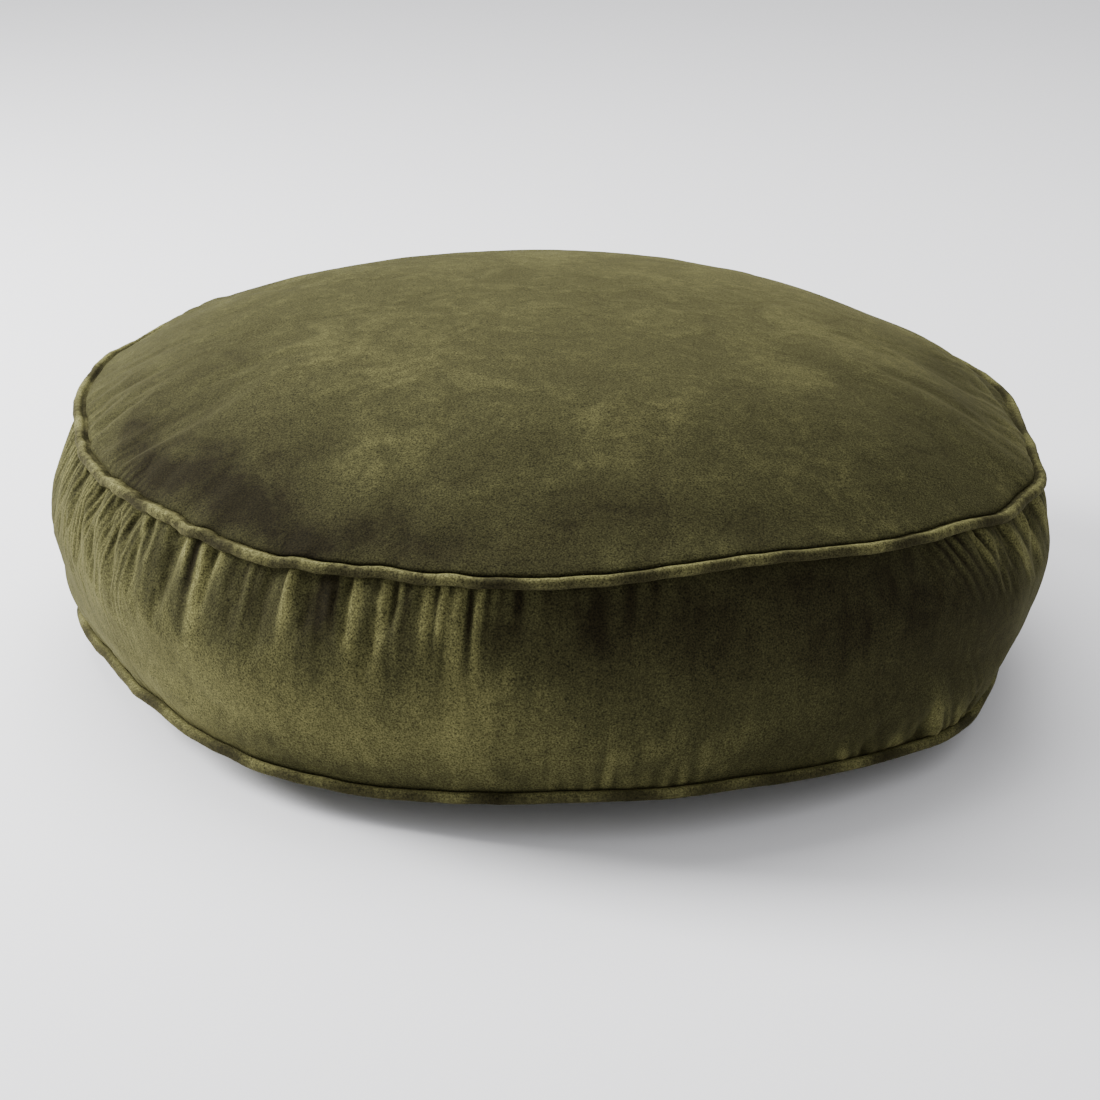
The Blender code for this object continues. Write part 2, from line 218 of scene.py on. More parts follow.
class MeshMaker:
    """Gathers rings, grids and discs of points into one mesh."""

    def __init__(self) -> None:
        """Start with nothing."""
        self.parts: list[np.ndarray] = []
        self.faces: list[tuple[int, ...]] = []
        self.count = 0

    def add(self, points: np.ndarray) -> np.ndarray:
        """Add points and return their numbers, in the same arrangement.

        Args:
            points: The points, in any arrangement.

        Returns:
            Their numbers.
        """
        shape = points.shape[:-1]
        flat = points.reshape(-1, 3)
        numbers = np.arange(self.count, self.count + len(flat)).reshape(shape)
        self.parts.append(flat)
        self.count += len(flat)
        return numbers

    def join(self, outer: np.ndarray, inner: np.ndarray) -> None:
        """Faces between two closed rings. The inner one may have half as many points.

        Args:
            outer: Numbers of the outer ring's points.
            inner: Numbers of the inner ring's points.
        """
        turn, many = len(outer), len(inner)
        for i in range(many):
            j = (i + 1) % many
            if many == turn:
                self.faces.append((outer[i], outer[j], inner[j], inner[i]))
            else:
                a, b, c = outer[2 * i], outer[2 * i + 1], outer[(2 * i + 2) % turn]
                self.faces.append((a, b, inner[i]))
                self.faces.append((b, c, inner[j], inner[i]))

    def grid(self, numbers: np.ndarray, closed: bool = False) -> None:
        """Faces of a grid of point numbers, closed along its columns or not.

        Args:
            numbers: Numbers of the grid's points.
            closed: Whether its last column joins its first.
        """
        if closed:
            numbers = np.concatenate([numbers, numbers[:, :1]], axis=1)
        quads = np.stack([numbers[:-1, :-1], numbers[1:, :-1], numbers[1:, 1:], numbers[:-1, 1:]])
        self.faces.extend(map(tuple, quads.reshape(4, -1).T.tolist()))

    def disc(self, rim: np.ndarray, at: Callable, share: float) -> None:
        """Fill a closed ring with a square net that has no pole.

        Args:
            rim: Numbers of the ring's points, at even azimuths from 0.
            at: Gives points from azimuths and shares of the way out.
            share: The ring's own share of the way out.
        """
        side = len(rim) // 4
        even = math.sqrt(2) * np.sin(np.radians(np.linspace(-45, 45, side + 1)))
        u, v = np.meshgrid(even, even, indexing="ij")
        x, y = u * np.sqrt(1 - v * v / 2), v * np.sqrt(1 - u * u / 2)
        azimuth = np.degrees(np.arctan2(y, x)) % 360.0
        points = at(azimuth, np.hypot(x, y) * share)
        numbers = np.rint(azimuth / 360.0 * len(rim)).astype(int) % len(rim)
        numbers = rim[numbers]
        numbers[1:-1, 1:-1] = self.add(points[1:-1, 1:-1])
        self.grid(numbers)

    def build(self, name: str) -> bpy.types.Object:
        """Make the object, with its faces turned outwards and its shading smooth.

        Args:
            name: The object's name.

        Returns:
            The object.
        """
        mesh = bpy.data.meshes.new(name)
        points = np.concatenate(self.parts)
        mesh.from_pydata(points.tolist(), [], [tuple(int(n) for n in f) for f in self.faces])
        thing = bpy.data.objects.new(name, mesh)
        bpy.context.scene.collection.objects.link(thing)
        only(thing)
        bpy.ops.object.mode_set(mode="EDIT")
        bpy.ops.mesh.select_all(action="SELECT")
        bpy.ops.mesh.normals_make_consistent(inside=False)
        bpy.ops.object.mode_set(mode="OBJECT")
        mesh.shade_smooth()
        return thing


def only(thing: bpy.types.Object) -> None:
    """Select one object, make it active and deselect the rest.

    Args:
        thing: The object to select.
    """
    for other in bpy.context.view_layer.objects:
        other.select_set(False)
    thing.select_set(True)
    bpy.context.view_layer.objects.active = thing


def at_vertices(thing: bpy.types.Object, what: str) -> np.ndarray:
    """Three numbers for each of an object's vertices.

    Args:
        thing: The object.
        what: Name of what is read.

    Returns:
        A row for each vertex.
    """
    flat = np.empty(len(thing.data.vertices) * 3)
    thing.data.vertices.foreach_get(what, flat)
    return flat.reshape(-1, 3)


def coordinates(thing: bpy.types.Object) -> np.ndarray:
    """Where an object's vertices are."""
    return at_vertices(thing, "co")


def set_coordinates(thing: bpy.types.Object, points: np.ndarray) -> None:
    """Move an object's vertices."""
    thing.data.vertices.foreach_set("co", np.ascontiguousarray(points).ravel())
    thing.data.update()


def normals(thing: bpy.types.Object) -> np.ndarray:
    """Normals at an object's vertices."""
    return at_vertices(thing, "normal")


def apply(thing: bpy.types.Object, kind: str, **settings: object) -> None:
    """Add a modifier with its settings and apply it.

    Args:
        thing: The object.
        kind: The modifier's type.
        settings: Its settings, by name.
    """
    only(thing)
    change = thing.modifiers.new(kind.title(), kind)
    for key, value in settings.items():
        setattr(change, key, value)
    bpy.ops.object.modifier_apply(modifier=change.name)


def subdivide(thing: bpy.types.Object, cuts: int) -> None:
    """Cut every edge of a primitive into even steps, so that it can be shaped.

    Args:
        thing: The object.
        cuts: Number of cuts in each edge.
    """
    only(thing)
    bpy.ops.object.mode_set(mode="EDIT")
    bpy.ops.mesh.select_all(action="SELECT")
    bpy.ops.mesh.subdivide(number_cuts=cuts)
    bpy.ops.object.mode_set(mode="OBJECT")


def face_outwards(thing: bpy.types.Object, number: int) -> None:
    """Flip an upright sheet if it looks towards the cushion's axis.

    Args:
        thing: The sheet.
        number: Number of the face that tells.
    """
    face = thing.data.polygons[number]
    if face.normal.dot(Vector((*face.center[:2], 0.0))) < 0:
        thing.data.flip_normals()


def face_along(thing: bpy.types.Object, half: Half) -> None:
    """Flip a lying sheet if it looks the wrong way.

    Args:
        thing: The sheet.
        half: The half whose way it should look.
    """
    if sum(face.normal.z * face.area for face in thing.data.polygons) * half.value < 0:
        thing.data.flip_normals()


def wall(thing: bpy.types.Object, thickness: float) -> None:
    """Give a skin its thickness, inwards."""
    apply(thing, "SOLIDIFY", thickness=thickness, offset=-1.0, use_rim=True)
    thing.data.shade_smooth()


def note(thing: bpy.types.Object, name: str, values: np.ndarray) -> None:
    """Store a number at each vertex for the finish to read."""
    store = thing.data.attributes.new(name, "FLOAT", "POINT")
    store.data.foreach_set("value", values.astype(np.float32))


def lay_uv(thing: bpy.types.Object, u: np.ndarray, v: np.ndarray) -> None:
    """Lay a UV map, in metres, from one pair of numbers for each vertex.

    Args:
        thing: The object.
        u: Distance along the piece at each vertex.
        v: Distance across it at each vertex.
    """
    layer = thing.data.uv_layers.new(name="along")
    corners = np.empty(len(thing.data.loops), dtype=np.int64)
    thing.data.loops.foreach_get("vertex_index", corners)
    pairs = np.stack([u[corners], v[corners]], axis=-1)
    layer.data.foreach_set("uv", pairs.astype(np.float32).ravel())


def declare(thing: bpy.types.Object, body: Body, slot: Slot, finish: "Finish",
            *nodes: str) -> bpy.types.Object:
    """Give a piece its finish and its body, and hide the CAD nodes that it stands for.

    Args:
        thing: The piece.
        body: The body that it rides on.
        slot: The slot that its finish comes from; not used.
        finish: Its finish.
        nodes: The CAD nodes that it replaces.

    Returns:
        The piece.
    """
    thing.data.materials.clear()
    thing.data.materials.append(finish.material())
    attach(thing, body.value)
    if nodes:
        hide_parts(*nodes)
    LOG.info("%s: %d faces, rides on %s", thing.name, len(thing.data.polygons), body.value)
    return thing


# ---------------- sizes


@dataclass(frozen=True)
class Sizes:
    """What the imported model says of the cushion's shape.

    Its rings are many-sided, so a radius is read at a corner and not at a flat.
    """

    sides: int = 48
    welt: float = 6.4 * MM
    zip_arc: float = 112.5
    zip_middle: float = 90.0
    zip_opening: float = 12 * MM

    def corner_radius(self, node: str) -> float:
        """Corner radius of a node that goes all the way round."""
        low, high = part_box(node)
        return (high[0] - low[0]) / 2 / math.cos(math.pi / self.sides)

    def middle(self, node: str) -> float:
        """Height of a node's middle."""
        low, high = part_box(node)
        return (low[2] + high[2]) / 2

    @property
    def zip_start(self) -> float:
        """Azimuth where the zip's strips begin."""
        return self.zip_middle - self.zip_arc / 2

    @property
    def zip_end(self) -> float:
        """Azimuth where the zip's strips end."""
        return self.zip_middle + self.zip_arc / 2

    @property
    def top_radius(self) -> float:
        """Radius of the top welt's centre line."""
        return self.corner_radius("top_welt_cover") - self.welt / 2

    @property
    def bottom_radius(self) -> float:
        """Radius of the bottom welt's centre line."""
        return self.corner_radius("bottom_welt_cover") - self.welt / 2

    @property
    def crown(self) -> float:
        """Height of the crown's middle."""
        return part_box("top_panel")[1][2]

    @property
    def zip_height(self) -> float:
        """Height of the line between the zip's two rows."""
        return (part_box("zip_coil_upper")[0][2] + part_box("zip_coil_lower")[1][2]) / 2


# ---------------- seams and outline


@dataclass(frozen=True)
class Kink:
    """A place where a sewn seam leaves its even circle.

    Azimuth and spread are in degrees, out and up in millimetres.
    """

    azimuth: float
    spread: float
    out: float
    up: float


@dataclass(frozen=True)
class SeamRing:
    """A welted seam: an even circle with the kinks that sewing and filling give it."""

    radius: float
    height: float
    kinks: tuple[Kink, ...]
    seed: int
    unevenness: float = 1.0

    def line(self, azimuth: np.ndarray, pucker: float = 1.0) -> tuple[np.ndarray, np.ndarray]:
        """Radius and height of the seam.

        Args:
            azimuth: Azimuths in degrees.
            pucker: Share of the stitching's small waves to include.

        Returns:
            The radii and the heights.
        """
        gathered = self.unevenness * pucker * (0.22 + 0.78 * bell(around(azimuth, 225.0), 38.0))
        out = 0.55 * MM * gathered * waves(azimuth, self.seed, (41, 53, 67, 79))
        up = 0.8 * MM * gathered * waves(azimuth, self.seed + 1, (37, 49, 61, 83))
        for kink in self.kinks:
            near = bell(around(azimuth, kink.azimuth), kink.spread) * MM
            out = out + kink.out * near
            up = up + kink.up * near
        return self.radius + out, self.height + up


TOP_KINKS = (
    Kink(147, 9, 4, 5), Kink(166, 7, 3, 2), Kink(192, 9, -5, 0), Kink(238, 10, 2, -4.5),
    Kink(252, 4, -2, -0.5), Kink(292, 17, -5, 8.5), Kink(330, 6.5, 6, -6),
    Kink(340, 5, 9, -3), Kink(359, 9, -5, -3), Kink(75, 20, 0, 2), Kink(110, 12, 0.5, -2),
)
BOTTOM_KINKS = (
    Kink(187, 6, 3, 0), Kink(207, 10, -6, 3), Kink(220, 5, -1.5, 3), Kink(240, 8, 3, -2),
    Kink(251, 5, -1, -2.5), Kink(276, 13, 0, 6), Kink(292, 8, -2, 4), Kink(303, 8, -2.5, 2),
    Kink(321, 5, 4, -1), Kink(328, 4, 1, -3.5), Kink(14, 14, 2, 2), Kink(70, 22, 0, -1),
    Kink(347, 13, -7, -2.5),
)


@dataclass(frozen=True)
class Outline:
    """The cover's outline before it is filled."""

    sizes: Sizes
    top: SeamRing
    bottom: SeamRing
    crown_slack: float = 4 * MM
    swell: float = 16.5 * MM
    zip_swell: float = 1.5 * MM
    swell_lift: float = 0.15
    corner: float = 3.5 * MM
    crown_flatness: float = 2.8
    crown_shoulder: float = 0.74
    rest_radius: float = 0.205
    underside_curve: float = 1.8

    def crown_at(self, azimuth: np.ndarray, share: np.ndarray) -> np.ndarray:
        """Points of the top panel at a share of the way out from its middle.

        Args:
            azimuth: Azimuths in degrees.
            share: Shares of the way out.

        Returns:
            The points.
        """
        radius, height = self.top.line(azimuth, share**14)
        fall = 1 - (1 - share**self.crown_flatness) ** self.crown_shoulder
        middle = self.sizes.crown - self.crown_slack
        return polar(azimuth, (radius - self.corner) * share, middle - (middle - height) * fall)

    def band_at(self, azimuth: np.ndarray, share: np.ndarray) -> np.ndarray:
        """Points of the band at a share of the way down from the top seam.

        Args:
            azimuth: Azimuths in degrees.
            share: Shares of the way down.

        Returns:
            The points.
        """
        radius, height = self.top.line(azimuth, (1 - share) ** 5)
        low_radius, low_height = self.bottom.line(azimuth, share**5)
        lift = 1 + self.swell_lift * (1 - 2 * share)
        by_zip = 1 - ease(self.sizes.zip_arc / 2, self.sizes.zip_arc / 2 + 20,
                          np.abs(around(azimuth, self.sizes.zip_middle)))
        full = self.swell + self.zip_swell * by_zip
        swell = full * 4 * share * (1 - share) * lift
        out = radius + (low_radius - radius) * share - self.corner + swell
        return polar(azimuth, out, height + (low_height - height) * share)

    def underside_at(self, azimuth: np.ndarray, share: np.ndarray) -> np.ndarray:
        """Points of the underside at a share of the way out from its middle.

        Args:
            azimuth: Azimuths in degrees.
            share: Shares of the way out.

        Returns:
            The points.
        """
        radius, height = self.bottom.line(azimuth, share**14)
        edge = radius - self.corner
        slope = np.clip((edge * share - self.rest_radius) / (edge - self.rest_radius), 0, 1)
        return polar(azimuth, edge * share, height * slope**self.underside_curve)


# ---------------- the filled cover


@dataclass(frozen=True)
class Fullness:
    """Extra cloth gathered into a stretch of a seam: where, how wide and how much, from 0 to 1."""

    azimuth: float
    spread: float
    amount: float


BAND_TOP_FULLNESS = (
    Fullness(212, 34, 1.0), Fullness(250, 13, 0.85), Fullness(272, 10, 0.25),
    Fullness(328, 15, 0.7), Fullness(160, 22, 0.6), Fullness(8, 20, 0.5),
)
BAND_LOW_FULLNESS = (
    Fullness(318, 22, 0.6), Fullness(278, 9, 0.5), Fullness(200, 24, 0.4), Fullness(15, 25, 0.4),
)
CROWN_FULLNESS = (
    Fullness(200, 22, 0.75), Fullness(148, 16, 0.5), Fullness(352, 22, 0.45),
    Fullness(95, 40, 0.3),
)


def fullness(azimuth: np.ndarray, places: Sequence[Fullness]) -> np.ndarray:
    """Share of extra cloth at each azimuth.

    Args:
        azimuth: Azimuths in degrees.
        places: The gathered stretches.

    Returns:
        The shares, from 0 to 1.
    """
    total = np.zeros_like(azimuth)
    for place in places:
        total = np.maximum(total, place.amount * bell(around(azimuth, place.azimuth), place.spread))
    return total


@dataclass
class FilledCover:
    """The whole cover as one skin, sewn at its two seams and filled until it is taut.

    The skin is a cloth with pressure inside it. Its seams, its zip and the patch that it rests on
    are held, and extra cloth is gathered where the sewing has it.
    """

    outline: Outline
    columns: int = 480
    band_rows: int = 30
    edge_rows: int = 18
    row_step: float = 4.4 * MM
    inner_step: float = 7 * MM
    pressure: float = 3.0
    stiffness: float = 20.0
    bending: float = 0.2
    frames: int = 20
    extra: float = -0.085
    plain: float = 0.0
    steam: float = 7.0
    cap: float = 15 * MM
    zip_hold: float = 17 * MM
    top_gather: float = 55 * MM
    low_gather: float = 35 * MM
    crown_gather: float = 34 * MM
    band: np.ndarray = field(default=None, repr=False)
    maker: MeshMaker = field(default_factory=MeshMaker, repr=False)

    def __post_init__(self) -> None:
        """Lay out the skin's points."""
        self.azimuth = np.arange(self.columns) * 360.0 / self.columns
        rows = [self._row(self.outline.band_at, share / self.band_rows, self.azimuth)
                for share in range(self.band_rows + 1)]
        self.band_numbers = np.stack(rows)
        self.maker.grid(self.band_numbers, closed=True)
        self.crown_from = len(self.maker.faces)
        self.crown_rows = self._cap(self.outline.crown_at, rows[0])
        self.underside_from = len(self.maker.faces)
        self.underside_rows = self._cap(self.outline.underside_at, rows[-1])

    def _row(self, at: Callable, share: float, azimuth: np.ndarray) -> np.ndarray:
        """Add one closed row of points."""
        return self.maker.add(at(azimuth, np.full(len(azimuth), share)))

    def _cap(self, at: Callable, rim: np.ndarray) -> list[np.ndarray]:
        """Close one end of the skin, from the seam to a square net in the middle.

        Args:
            at: Gives points from azimuths and shares of the way out.
            rim: Numbers of the seam's points.

        Returns:
            The rows that follow the seam, from the outside in.
        """
        share, radius, last, rows = 1.0, self.outline.top.radius, rim, []
        for _ in range(self.edge_rows):
            share -= self.row_step / radius
            row = self._row(at, share, self.azimuth)
            self.maker.join(last, row)
            last = row
            rows.append(row)
        for _ in range(4):
            share -= self.inner_step / radius
            row = self._row(at, share, self.azimuth[::2])
            self.maker.join(last, row)
            last = row
        self.maker.disc(last, at, share)
        return rows

    def _held(self, points: np.ndarray) -> np.ndarray:
        """Where the skin is held: at its seams, round the zip and where it rests.

        Args:
            points: The skin's points.

        Returns:
            1 where the skin is held, and 0 elsewhere.
        """
        held = np.zeros(len(points))
        held[self.band_numbers[0]] = 1.0
        held[self.band_numbers[-1]] = 1.0
        sizes, azimuth = self.outline.sizes, azimuth_of(points)
        by_zip = np.abs(around(azimuth, sizes.zip_middle)) < sizes.zip_arc / 2 + 2
        level = np.abs(points[:, 2] - sizes.zip_height)
        on_band = radius_of(points) > self.outline.top.radius
        held[by_zip & on_band & (level < self.zip_hold)] = 1.0
        held[points[:, 2] < 0.01 * MM] = 1.0
        return held

    def _tightness(self, points: np.ndarray) -> np.ndarray:
        """How much shorter than its cut each part of the skin is: below 0 where it is gathered.

        Args:
            points: The skin's points.

        Returns:
            The share at each point.
        """
        azimuth, radius, z = azimuth_of(points), radius_of(points), points[:, 2]
        top, low = self.outline.top.height, self.outline.bottom.height
        numbers = np.arange(len(points))
        on_band = numbers < self.band_numbers.size
        on_crown = ~on_band & (z > (top + low) / 2)
        near_top = bell(z - top, self.top_gather) * fullness(azimuth, BAND_TOP_FULLNESS)
        near_low = bell(z - low, self.low_gather) * fullness(azimuth, BAND_LOW_FULLNESS)
        near_edge = bell(radius - self.outline.top.radius, self.crown_gather)
        crown = near_edge * fullness(azimuth, CROWN_FULLNESS)
        full = np.where(on_band, np.maximum(near_top, near_low), np.where(on_crown, crown, 0.0))
        return self.plain + (self.extra - self.plain) * full

    def fill(self) -> np.ndarray:
        """Inflate the skin.

        Returns:
            Its points when it is full, in the maker's order.
        """
        skin = self.maker.build("cover_skin")
        start = coordinates(skin)
        self._inflate(skin, start)
        full = coordinates(skin)
        bpy.data.objects.remove(skin, do_unlink=True)
        move = full - start
        far = np.linalg.norm(move, axis=1, keepdims=True)
        LOG.info("filling moved the cover by up to %.1f mm", far.max() / MM)
        move = move * np.minimum(1.0, self.cap / np.maximum(far, 1e-9))
        low_full = fullness(self.azimuth, BAND_LOW_FULLNESS)
        top_full = fullness(self.azimuth, BAND_TOP_FULLNESS)
        for place, row in enumerate(self.band_numbers):
            share = place / self.band_rows
            self._steam(move, row, np.maximum(top_full * (1 - share), low_full * share))
        for row in self.crown_rows:
            self._steam(move, row, fullness(self.azimuth, CROWN_FULLNESS))
        for row in self.underside_rows:
            self._steam(move, row, 0.5 * low_full)
        full = start + move
        full[:, 2] = np.maximum(full[:, 2], 0.0)
        self.band = full[self.band_numbers]
        return full

    def _steam(self, move: np.ndarray, row: np.ndarray, keep: np.ndarray) -> None:
        """Take the small creases out of a row of the filled skin.

        Args:
            move: How far each point of the skin moved, changed in place.
            row: Numbers of a closed row's points.
            keep: Share of the creases that stay, at each of them.
        """
        step = 360.0 / len(row)
        reach = int(3 * self.steam / step)
        weights = np.exp(-((np.arange(-reach, reach + 1) * step / self.steam) ** 2))
        turn = np.radians(self.azimuth)
        out = np.stack([np.cos(turn), np.sin(turn), np.zeros_like(turn)], axis=-1)
        along = np.stack([-np.sin(turn), np.cos(turn), np.zeros_like(turn)], axis=-1)
        parts = np.stack([(move[row] * out).sum(-1), (move[row] * along).sum(-1), move[row, 2]])
        looped = np.concatenate([parts[:, -reach:], parts, parts[:, :reach]], axis=1)
        even = np.stack([np.convolve(part, weights / weights.sum(), "valid") for part in looped])
        mixed = even + (parts - even) * np.clip(keep * 1.25, 0.0, 1.0)
        move[row] = mixed[0][:, None] * out + mixed[1][:, None] * along
        move[row, 2] = mixed[2]

    def _inflate(self, skin: bpy.types.Object, start: np.ndarray) -> None:
        """Run the cloth and apply what it gives.

        Args:
            skin: The skin.
            start: Its points before it is filled.
        """
        held, tightness = self._held(start), self._tightness(start)
        spread = (tightness - self.extra) / (self.plain - self.extra)
        for name, weights in (("held", held), ("tight", spread)):
            group = skin.vertex_groups.new(name=name)
            for number, weight in enumerate(weights):
                if weight > 0:
                    group.add([number], float(weight), "REPLACE")
        cloth = skin.modifiers.new("Filling", "CLOTH")
        rules = cloth.settings
        rules.quality = 5
        rules.use_pressure = True
        rules.uniform_pressure_force = self.pressure
        rules.effector_weights.gravity = 0.0
        rules.vertex_group_mass = "held"
        rules.vertex_group_shrink = "tight"
        rules.shrink_min = self.extra
        rules.shrink_max = self.plain
        rules.tension_stiffness = self.stiffness
        rules.compression_stiffness = self.stiffness
        rules.bending_stiffness = self.bending
        cloth.collision_settings.use_collision = False
        cloth.collision_settings.use_self_collision = False
        cloth.point_cache.frame_start = 1
        cloth.point_cache.frame_end = self.frames
        scene = bpy.context.scene
        for step in range(1, self.frames + 1):
            scene.frame_set(step)
        only(skin)
        bpy.ops.object.modifier_apply(modifier=cloth.name)
        scene.frame_set(1)


# ---------------- tucks, creases, and patches of brushed pile with painted light and shade


class Seam(Enum):
    """The seam that a tuck or crease runs from."""

    TOP = 1
    BOTTOM = 2


@dataclass(frozen=True)
class Tucks:
    """Many small tucks side by side along a seam, with rounded ridges and sharp valleys.

    Azimuths are in degrees, slant in millimetres along the seam for each one away from it, and
    the other lengths in millimetres.
    """

    start: float
    end: float
    spacing: float
    depth: float
    reach: float
    seed: int
    slant: float = 0.0
    seam: Seam = Seam.TOP

    def rise(self, azimuth: np.ndarray, radius: np.ndarray, away: np.ndarray) -> np.ndarray:
        """Height of the tucks over the smooth cloth, from -0.5 to 0.5 of their depth.

        Args:
            azimuth: Azimuth of each point.
            radius: Radius of each point.
            away: Distance of each point from the seam.

        Returns:
            The height in millimetres.
        """
        draw = np.random.default_rng(self.seed)
        centre = (self.start + self.end) / 2
        turn = around(azimuth, centre)
        along = np.radians(turn) * radius / MM + self.slant * away / MM
        phases = draw.uniform(0, 2 * np.pi, 3)
        warp = sum(np.sin(along / self.spacing / k + p) for k, p in zip((1.7, 2.9, 5.3), phases))
        place = along / self.spacing + 0.16 * warp
        cell = np.rint(place).astype(int)
        size = draw.uniform(0.25, 1.0, 512)[cell % 512]
        length = draw.uniform(0.45, 1.3, 512)[cell % 512]
        ridge = np.abs(np.cos(np.pi * (place - cell))) ** 1.5
        fade = ease(0.0, 3.5 * MM, away) * np.exp(-((away / (self.reach * MM * length)) ** 1.5))
        half = (self.end - self.start) / 2
        inside = 1 - ease(half - 5, half + 3, np.abs(turn))
        return self.depth * size * (ridge - 0.42) * fade * inside


@dataclass(frozen=True)
class Crease:
    """One longer ridge, or a valley where its depth is below 0, that runs from a seam."""

    azimuth: float
    length: float
    width: float
    depth: float
    slant: float = 0.0
    seam: Seam = Seam.TOP

    def rise(self, azimuth: np.ndarray, radius: np.ndarray, away: np.ndarray) -> np.ndarray:
        """Height of the ridge in millimetres, from each point's place as for Tucks.

        Args:
            azimuth: Azimuth of each point.
            radius: Radius of each point.
            away: Distance of each point from the seam.

        Returns:
            The height.
        """
        along = np.radians(around(azimuth, self.azimuth)) * radius / MM + self.slant * away / MM
        widening = 1 + away / MM / self.length
        fade = ease(0.0, 4 * MM, away) * np.exp(-((away / MM / self.length) ** 2.5))
        return self.depth * bell(along, self.width * widening) * fade


BAND_TUCKS = (
    Tucks(176, 222, 4.4, 1.9, 54, 3, slant=0.08), Tucks(219, 246, 9.5, 1.6, 30, 5),
    Tucks(244, 268, 8.0, 1.8, 28, 7), Tucks(264, 284, 15.0, 0.8, 22, 9),
    Tucks(315, 345, 8.5, 2.2, 28, 11, slant=-0.4), Tucks(345, 390, 12.0, 1.2, 26, 13),
    Tucks(140, 180, 7.5, 1.4, 30, 15), Tucks(50, 132, 14.0, 0.8, 18, 17),
    Tucks(270, 288, 10.5, 1.3, 20, 19, seam=Seam.BOTTOM),
    Tucks(302, 332, 9.5, 1.6, 26, 21, slant=0.55, seam=Seam.BOTTOM),
    Tucks(185, 228, 7.0, 0.7, 18, 23, seam=Seam.BOTTOM),
    Tucks(335, 480, 13.0, 0.9, 20, 25, seam=Seam.BOTTOM),
    Tucks(120, 186, 12.0, 1.0, 22, 27, seam=Seam.BOTTOM),
)
BAND_CREASES = (
    Crease(228.6, 20, 2.6, 1.6), Crease(231.4, 46, 3.4, 2.2), Crease(233.6, 18, 2.2, 1.5),
    Crease(229.9, 40, 2.2, -1.6), Crease(243.0, 34, 3.2, 1.9), Crease(247.0, 30, 4.5, -1.4),
    Crease(250.2, 42, 3.6, 2.0), Crease(253.2, 44, 3.0, 1.9), Crease(257.8, 36, 2.8, 1.8),
    Crease(259.6, 32, 2.4, 1.6), Crease(261.2, 50, 2.8, 2.1), Crease(263.0, 42, 2.0, 2.3),
    Crease(262.1, 40, 1.4, -1.5), Crease(267.0, 30, 3.0, -0.7), Crease(274.5, 40, 3.5, -0.6),
    Crease(321.5, 20, 3.5, 1.8, -0.5), Crease(324.0, 18, 3.0, 1.8, -0.5),
    Crease(328.5, 34, 3.5, 2.4, -0.5), Crease(332.5, 32, 3.2, 2.4, -0.5),
    Crease(337.5, 30, 3.2, 2.2, -0.4), Crease(342.0, 26, 3.2, 2.0, -0.3),
    Crease(319.0, 38, 4.0, 1.8, 0.5, Seam.BOTTOM), Crease(323.0, 22, 3.0, 1.6, 0.5, Seam.BOTTOM),
    Crease(312.5, 16, 3.5, 1.3, 0.3, Seam.BOTTOM), Crease(305.0, 14, 3.5, 1.2, 0.3, Seam.BOTTOM),
)
CROWN_TUCKS = (
    Tucks(186, 221, 6.2, 1.3, 15, 31), Tucks(140, 165, 8.0, 1.2, 16, 33),
    Tucks(330, 372, 11.0, 0.9, 20, 35), Tucks(228, 262, 9.0, 0.45, 9, 37),
    Tucks(40, 135, 12.0, 0.7, 14, 39),
)
UNDERSIDE_TUCKS = (
    Tucks(180, 330, 11.0, 0.8, 18, 41), Tucks(330, 540, 12.0, 0.7, 18, 43),
)


@dataclass(frozen=True)
class LongFold:
    """A soft fold of the top panel that runs nearly along its edge.

    Azimuths are in degrees, and the radius at each end, the width and the height in millimetres.
    """

    start: float
    end: float
    start_radius: float
    end_radius: float
    width: float
    height: float

    def rise(self, azimuth: np.ndarray, radius: np.ndarray) -> np.ndarray:
        """Height of the fold in millimetres at each point.

        Args:
            azimuth: Azimuth of each point.
            radius: Radius of each point.

        Returns:
            The height.
        """
        span = around(np.asarray(self.end, dtype=float), self.start)
        share = around(azimuth, self.start) / span
        path = self.start_radius + (self.end_radius - self.start_radius) * share
        inside = ease(-0.05, 0.25, share) * (1 - ease(0.8, 1.05, share))
        return self.height * bell(radius / MM - path, self.width) * inside


LONG_FOLDS = (
    LongFold(32, -19, 252, 300, 9, 2.6), LongFold(24, -12, 236, 284, 8, 1.6),
    LongFold(38, -6, 268, 297, 6, -1.8), LongFold(120, 165, 262, 292, 8, 1.6),
    LongFold(60, 100, 270, 285, 9, 1.4),
)


@dataclass(frozen=True)
class NapAndPaintedLightPatch:
    """A patch of tone on the velvet, partly brushed pile and partly painted light and shade:
    lighter above 0, darker below it.

    Its azimuth and turn are in degrees. Level is its radius on a panel, or its height on the
    band, and level and size are in millimetres.
    """

    azimuth: float
    level: float
    turn: float
    size: float
    tone: float

    def shade(self, azimuth: np.ndarray, level: np.ndarray) -> np.ndarray:
        """What the patch adds to the tone, brushed pile with painted light and shade, at each
        point.
        """
        off = around(azimuth, self.azimuth)
        return self.tone * bell(off, self.turn) * bell(level / MM - self.level, self.size)
